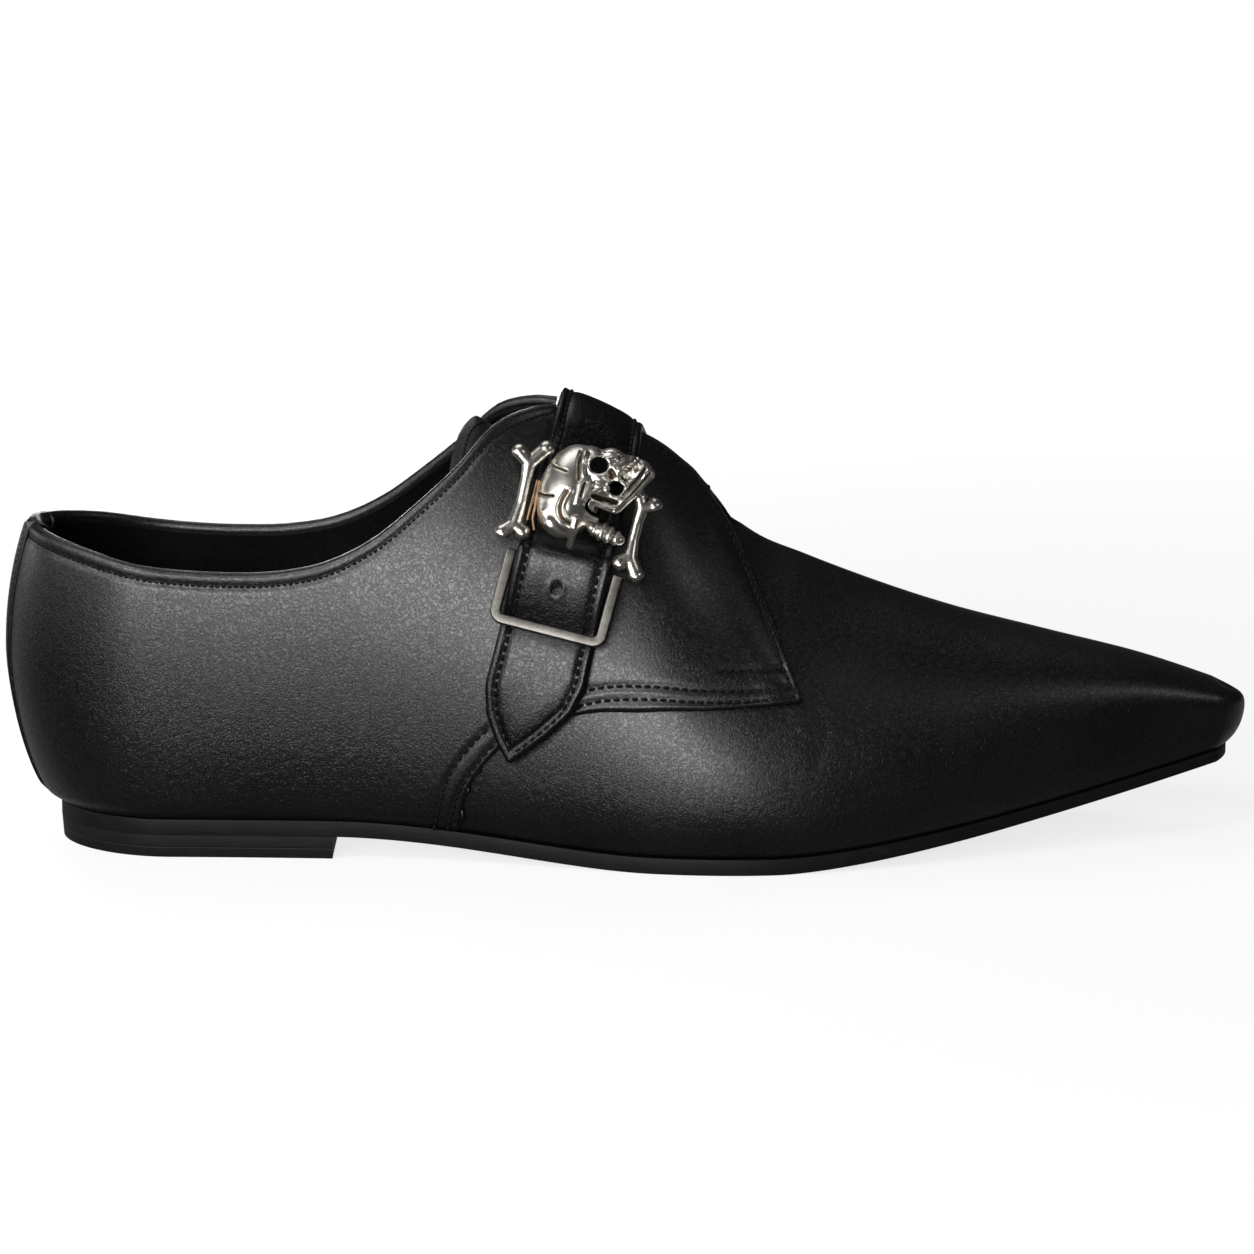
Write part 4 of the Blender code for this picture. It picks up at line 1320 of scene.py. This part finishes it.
bpy.ops.mesh.select_all(action="SELECT")
open_back = (0.0, 0.0, SKULL_BACK)
bpy.ops.mesh.bisect(plane_co=open_back, plane_no=(0.0, 0.0, 1.0), clear_inner=True, use_fill=True)
bpy.ops.object.mode_set(mode="OBJECT")
for line, wide, deep in (
    # temple: a deep groove between two ridges
    ([(-4.2, 11.2), (-4.4, 9.1), (-4.0, 6.0), (-3.6, 3.6)], 0.42, 1.0),
    ([(-3.2, 11.3), (-3.2, 8.3), (-2.8, 5.6), (-2.2, 3.6)], 0.45, -0.5),
    ([(-2.2, 11.4), (-2.1, 8.4), (-1.7, 5.4)], 0.45, 0.35),
    ([(-2.9, 3.2), (-3.0, 0.0), (-3.1, -2.6)], 0.60, -0.50),
    ([(-1.8, 3.1), (-2.1, 1.5), (-2.3, -0.6)], 0.30, 0.9),
    ([(-1.1, 3.8), (-1.3, 1.3), (-1.7, -1.0)], 0.55, -0.40),
    # leaf-shaped bump behind it
    ([(-5.2, 0.6), (-6.0, -1.7), (-6.3, -4.2), (-5.6, -6.5), (-3.6, -7.6)], 0.50, -0.55),
    ([(-5.9, 0.1), (-7.0, -2.6), (-7.2, -4.7), (-6.5, -6.9), (-4.4, -8.4), (-2.9, -8.5)], 0.55, 0.75),
    ([(-4.7, -0.4), (-4.9, -3.2), (-4.5, -5.6)], 1.20, -0.30),
    # cracks and shallow dents of the crown
    ([(-11.1, 6.2), (-8.9, 5.7), (-7.1, 5.3)], 0.30, 1.2),
    ([(-13.4, -1.9), (-11.4, -2.2), (-9.2, -1.9)], 0.30, 1.2),
    ([(-8.6, -8.6), (-6.6, -10.4), (-4.2, -11.2)], 0.90, 0.40),
    ([(-10.8, -6.4), (-9.8, -8.8), (-8.6, -10.4)], 0.60, -0.35),
    # brow, cheek and nose
    ([(0.6, 11.7), (2.1, 12.6), (3.9, 13.0), (5.3, 12.3)], 0.55, -0.45),
    ([(0.2, 12.6), (1.0, 11.2), (3.2, 11.9), (5.4, 11.7)], 0.40, 0.40),
    ([(3.5, 7.5), (4.5, 6.7), (4.5, 5.8)], 0.85, 0.90),
    ([(2.8, 8.3), (4.1, 8.7), (4.9, 7.6), (6.0, 6.3)], 0.32, -0.35),
    ([(-0.3, 4.9), (1.5, 4.9), (3.2, 4.9)], 0.70, -0.30),
    ([(0.4, 3.5), (1.8, 3.7), (3.2, 3.9)], 0.45, 0.30),
    ([(1.8, 1.0), (4.2, 0.6), (6.3, 0.9), (7.4, 1.7)], 0.55, -0.30),
    ([(0.6, 0.0), (3.6, -0.4), (6.6, -0.5)], 0.38, 0.90),
    # jaw: long folds side by side, and the trough that holds the teeth
    ([(7.0, 6.6), (10.2, 12.1)], 0.85, 1.00),
    ([(11.4, 10.5), (9.3, 6.0), (7.2, 2.1)], 0.42, -0.55),
    ([(12.2, 10.1), (10.1, 5.7), (7.9, 1.7)], 0.34, 0.75),
    ([(12.9, 9.6), (10.8, 5.3), (8.5, 1.2), (6.3, -2.0)], 0.36, -0.35),
    ([(13.5, 9.0), (11.4, 4.8), (9.1, 0.7)], 0.32, 0.55),
    ([(1.2, -1.8), (3.4, -2.3), (6.0, -2.8)], 0.32, 0.35),
):
    pressed(skull, line, wide, deep)
for x, y, wide in EYES:
    turn = np.linspace(0, 2 * math.pi, 25)
    rim = wide + EYE_RIM
    pressed(skull, np.stack([x + rim * np.cos(turn), y + rim * np.sin(turn)], axis=1), EYE_RIM, -EYE_RIM_HIGH)
apply(skull, "SMOOTH", factor=0.5, iterations=2)
teeth = []
for first in (TEETH_FROM, TEETH_FROM + TEETH_LOWER):
    for k in range(TEETH):
        x, y = first + TEETH_RUN * k / (TEETH - 1)
        teeth.append(ball(x, y, front_height(skull, x, y) + TOOTH_PROUD, *TOOTH, TOOTH_TURN, 12))
skull = joined([skull] + teeth)
bpy.ops.object.shade_smooth()
skull_look = plated("skull_silver", (0.90, 0.875, 0.82), (0.64, 0.61, 0.55), 0.27, (0.09, 0.058, 0.035))

# Prong: a short round pin of the same silver, turned over the ornament's lower edge and pointing down the
# strap. It is soldered on before the ornament is laid in its place.
PRONG_HALF = 1.12
PRONG_BEND = 0.3
edge_height = front_height(skull, -2.65, -6.4)
pin = [(-2.6, -6.5, edge_height + PRONG_BEND), (-2.7, -9.0, edge_height - PRONG_BEND), (-2.7, -13.9, 1.4)]
prong = melt(rod(pin, PRONG_HALF), CAST_VOXEL, 8)
settle(skull, "buckle_skull", ornament_place, skull_look, 10, "buckle_skull")
settle(prong, "buckle_prong", ornament_place, bone_look, 8, "buckle_prong")

# Neck: the ribbed stub of the spine under the jaw, and two thin wires beside the rear bone, cast with
# the ornament.
neck = melt(
    [
        *beads([(1.8, -8.2, 1.5), (4.6, -9.0, 1.8), (8.6, -10.1, 1.2)], (1.7, 2.2, 1.6)),
        *(
            ball(2.4 + 1.85 * k, -8.35 - 0.5 * k, 1.5, 0.95, tall, tall, -15.0, 20)
            for k, tall in enumerate((2.2, 2.75, 2.6, 2.2))
        ),
    ],
    CAST_VOXEL,
    4,
)
settle(neck, "buckle_neck", ornament_place, skull_look, 8)
WIRE_HALF = 0.40
WIRE_VOXEL = 0.14
outer = [(-13.6, 1.4, 0.2), (-13.8, -2.3, 0.2), (-14.1, -5.9, 0.0), (-14.3, -9.4, -0.4)]
inner = [(-12.9, 1.4, 0.4), (-13.0, -2.2, 0.4), (-13.0, -5.6, 0.2), (-13.1, -8.8, 0.0), (-12.2, -11.7, -0.4)]
wires = melt(rod(outer, WIRE_HALF) + rod(inner, WIRE_HALF), WIRE_VOXEL, 3)
wire_look = plated("wire_copper", (0.34, 0.23, 0.15), (0.20, 0.12, 0.07), 0.30, (0.10, 0.05, 0.03))
settle(wires, "buckle_wires", ornament_place, wire_look, 6)
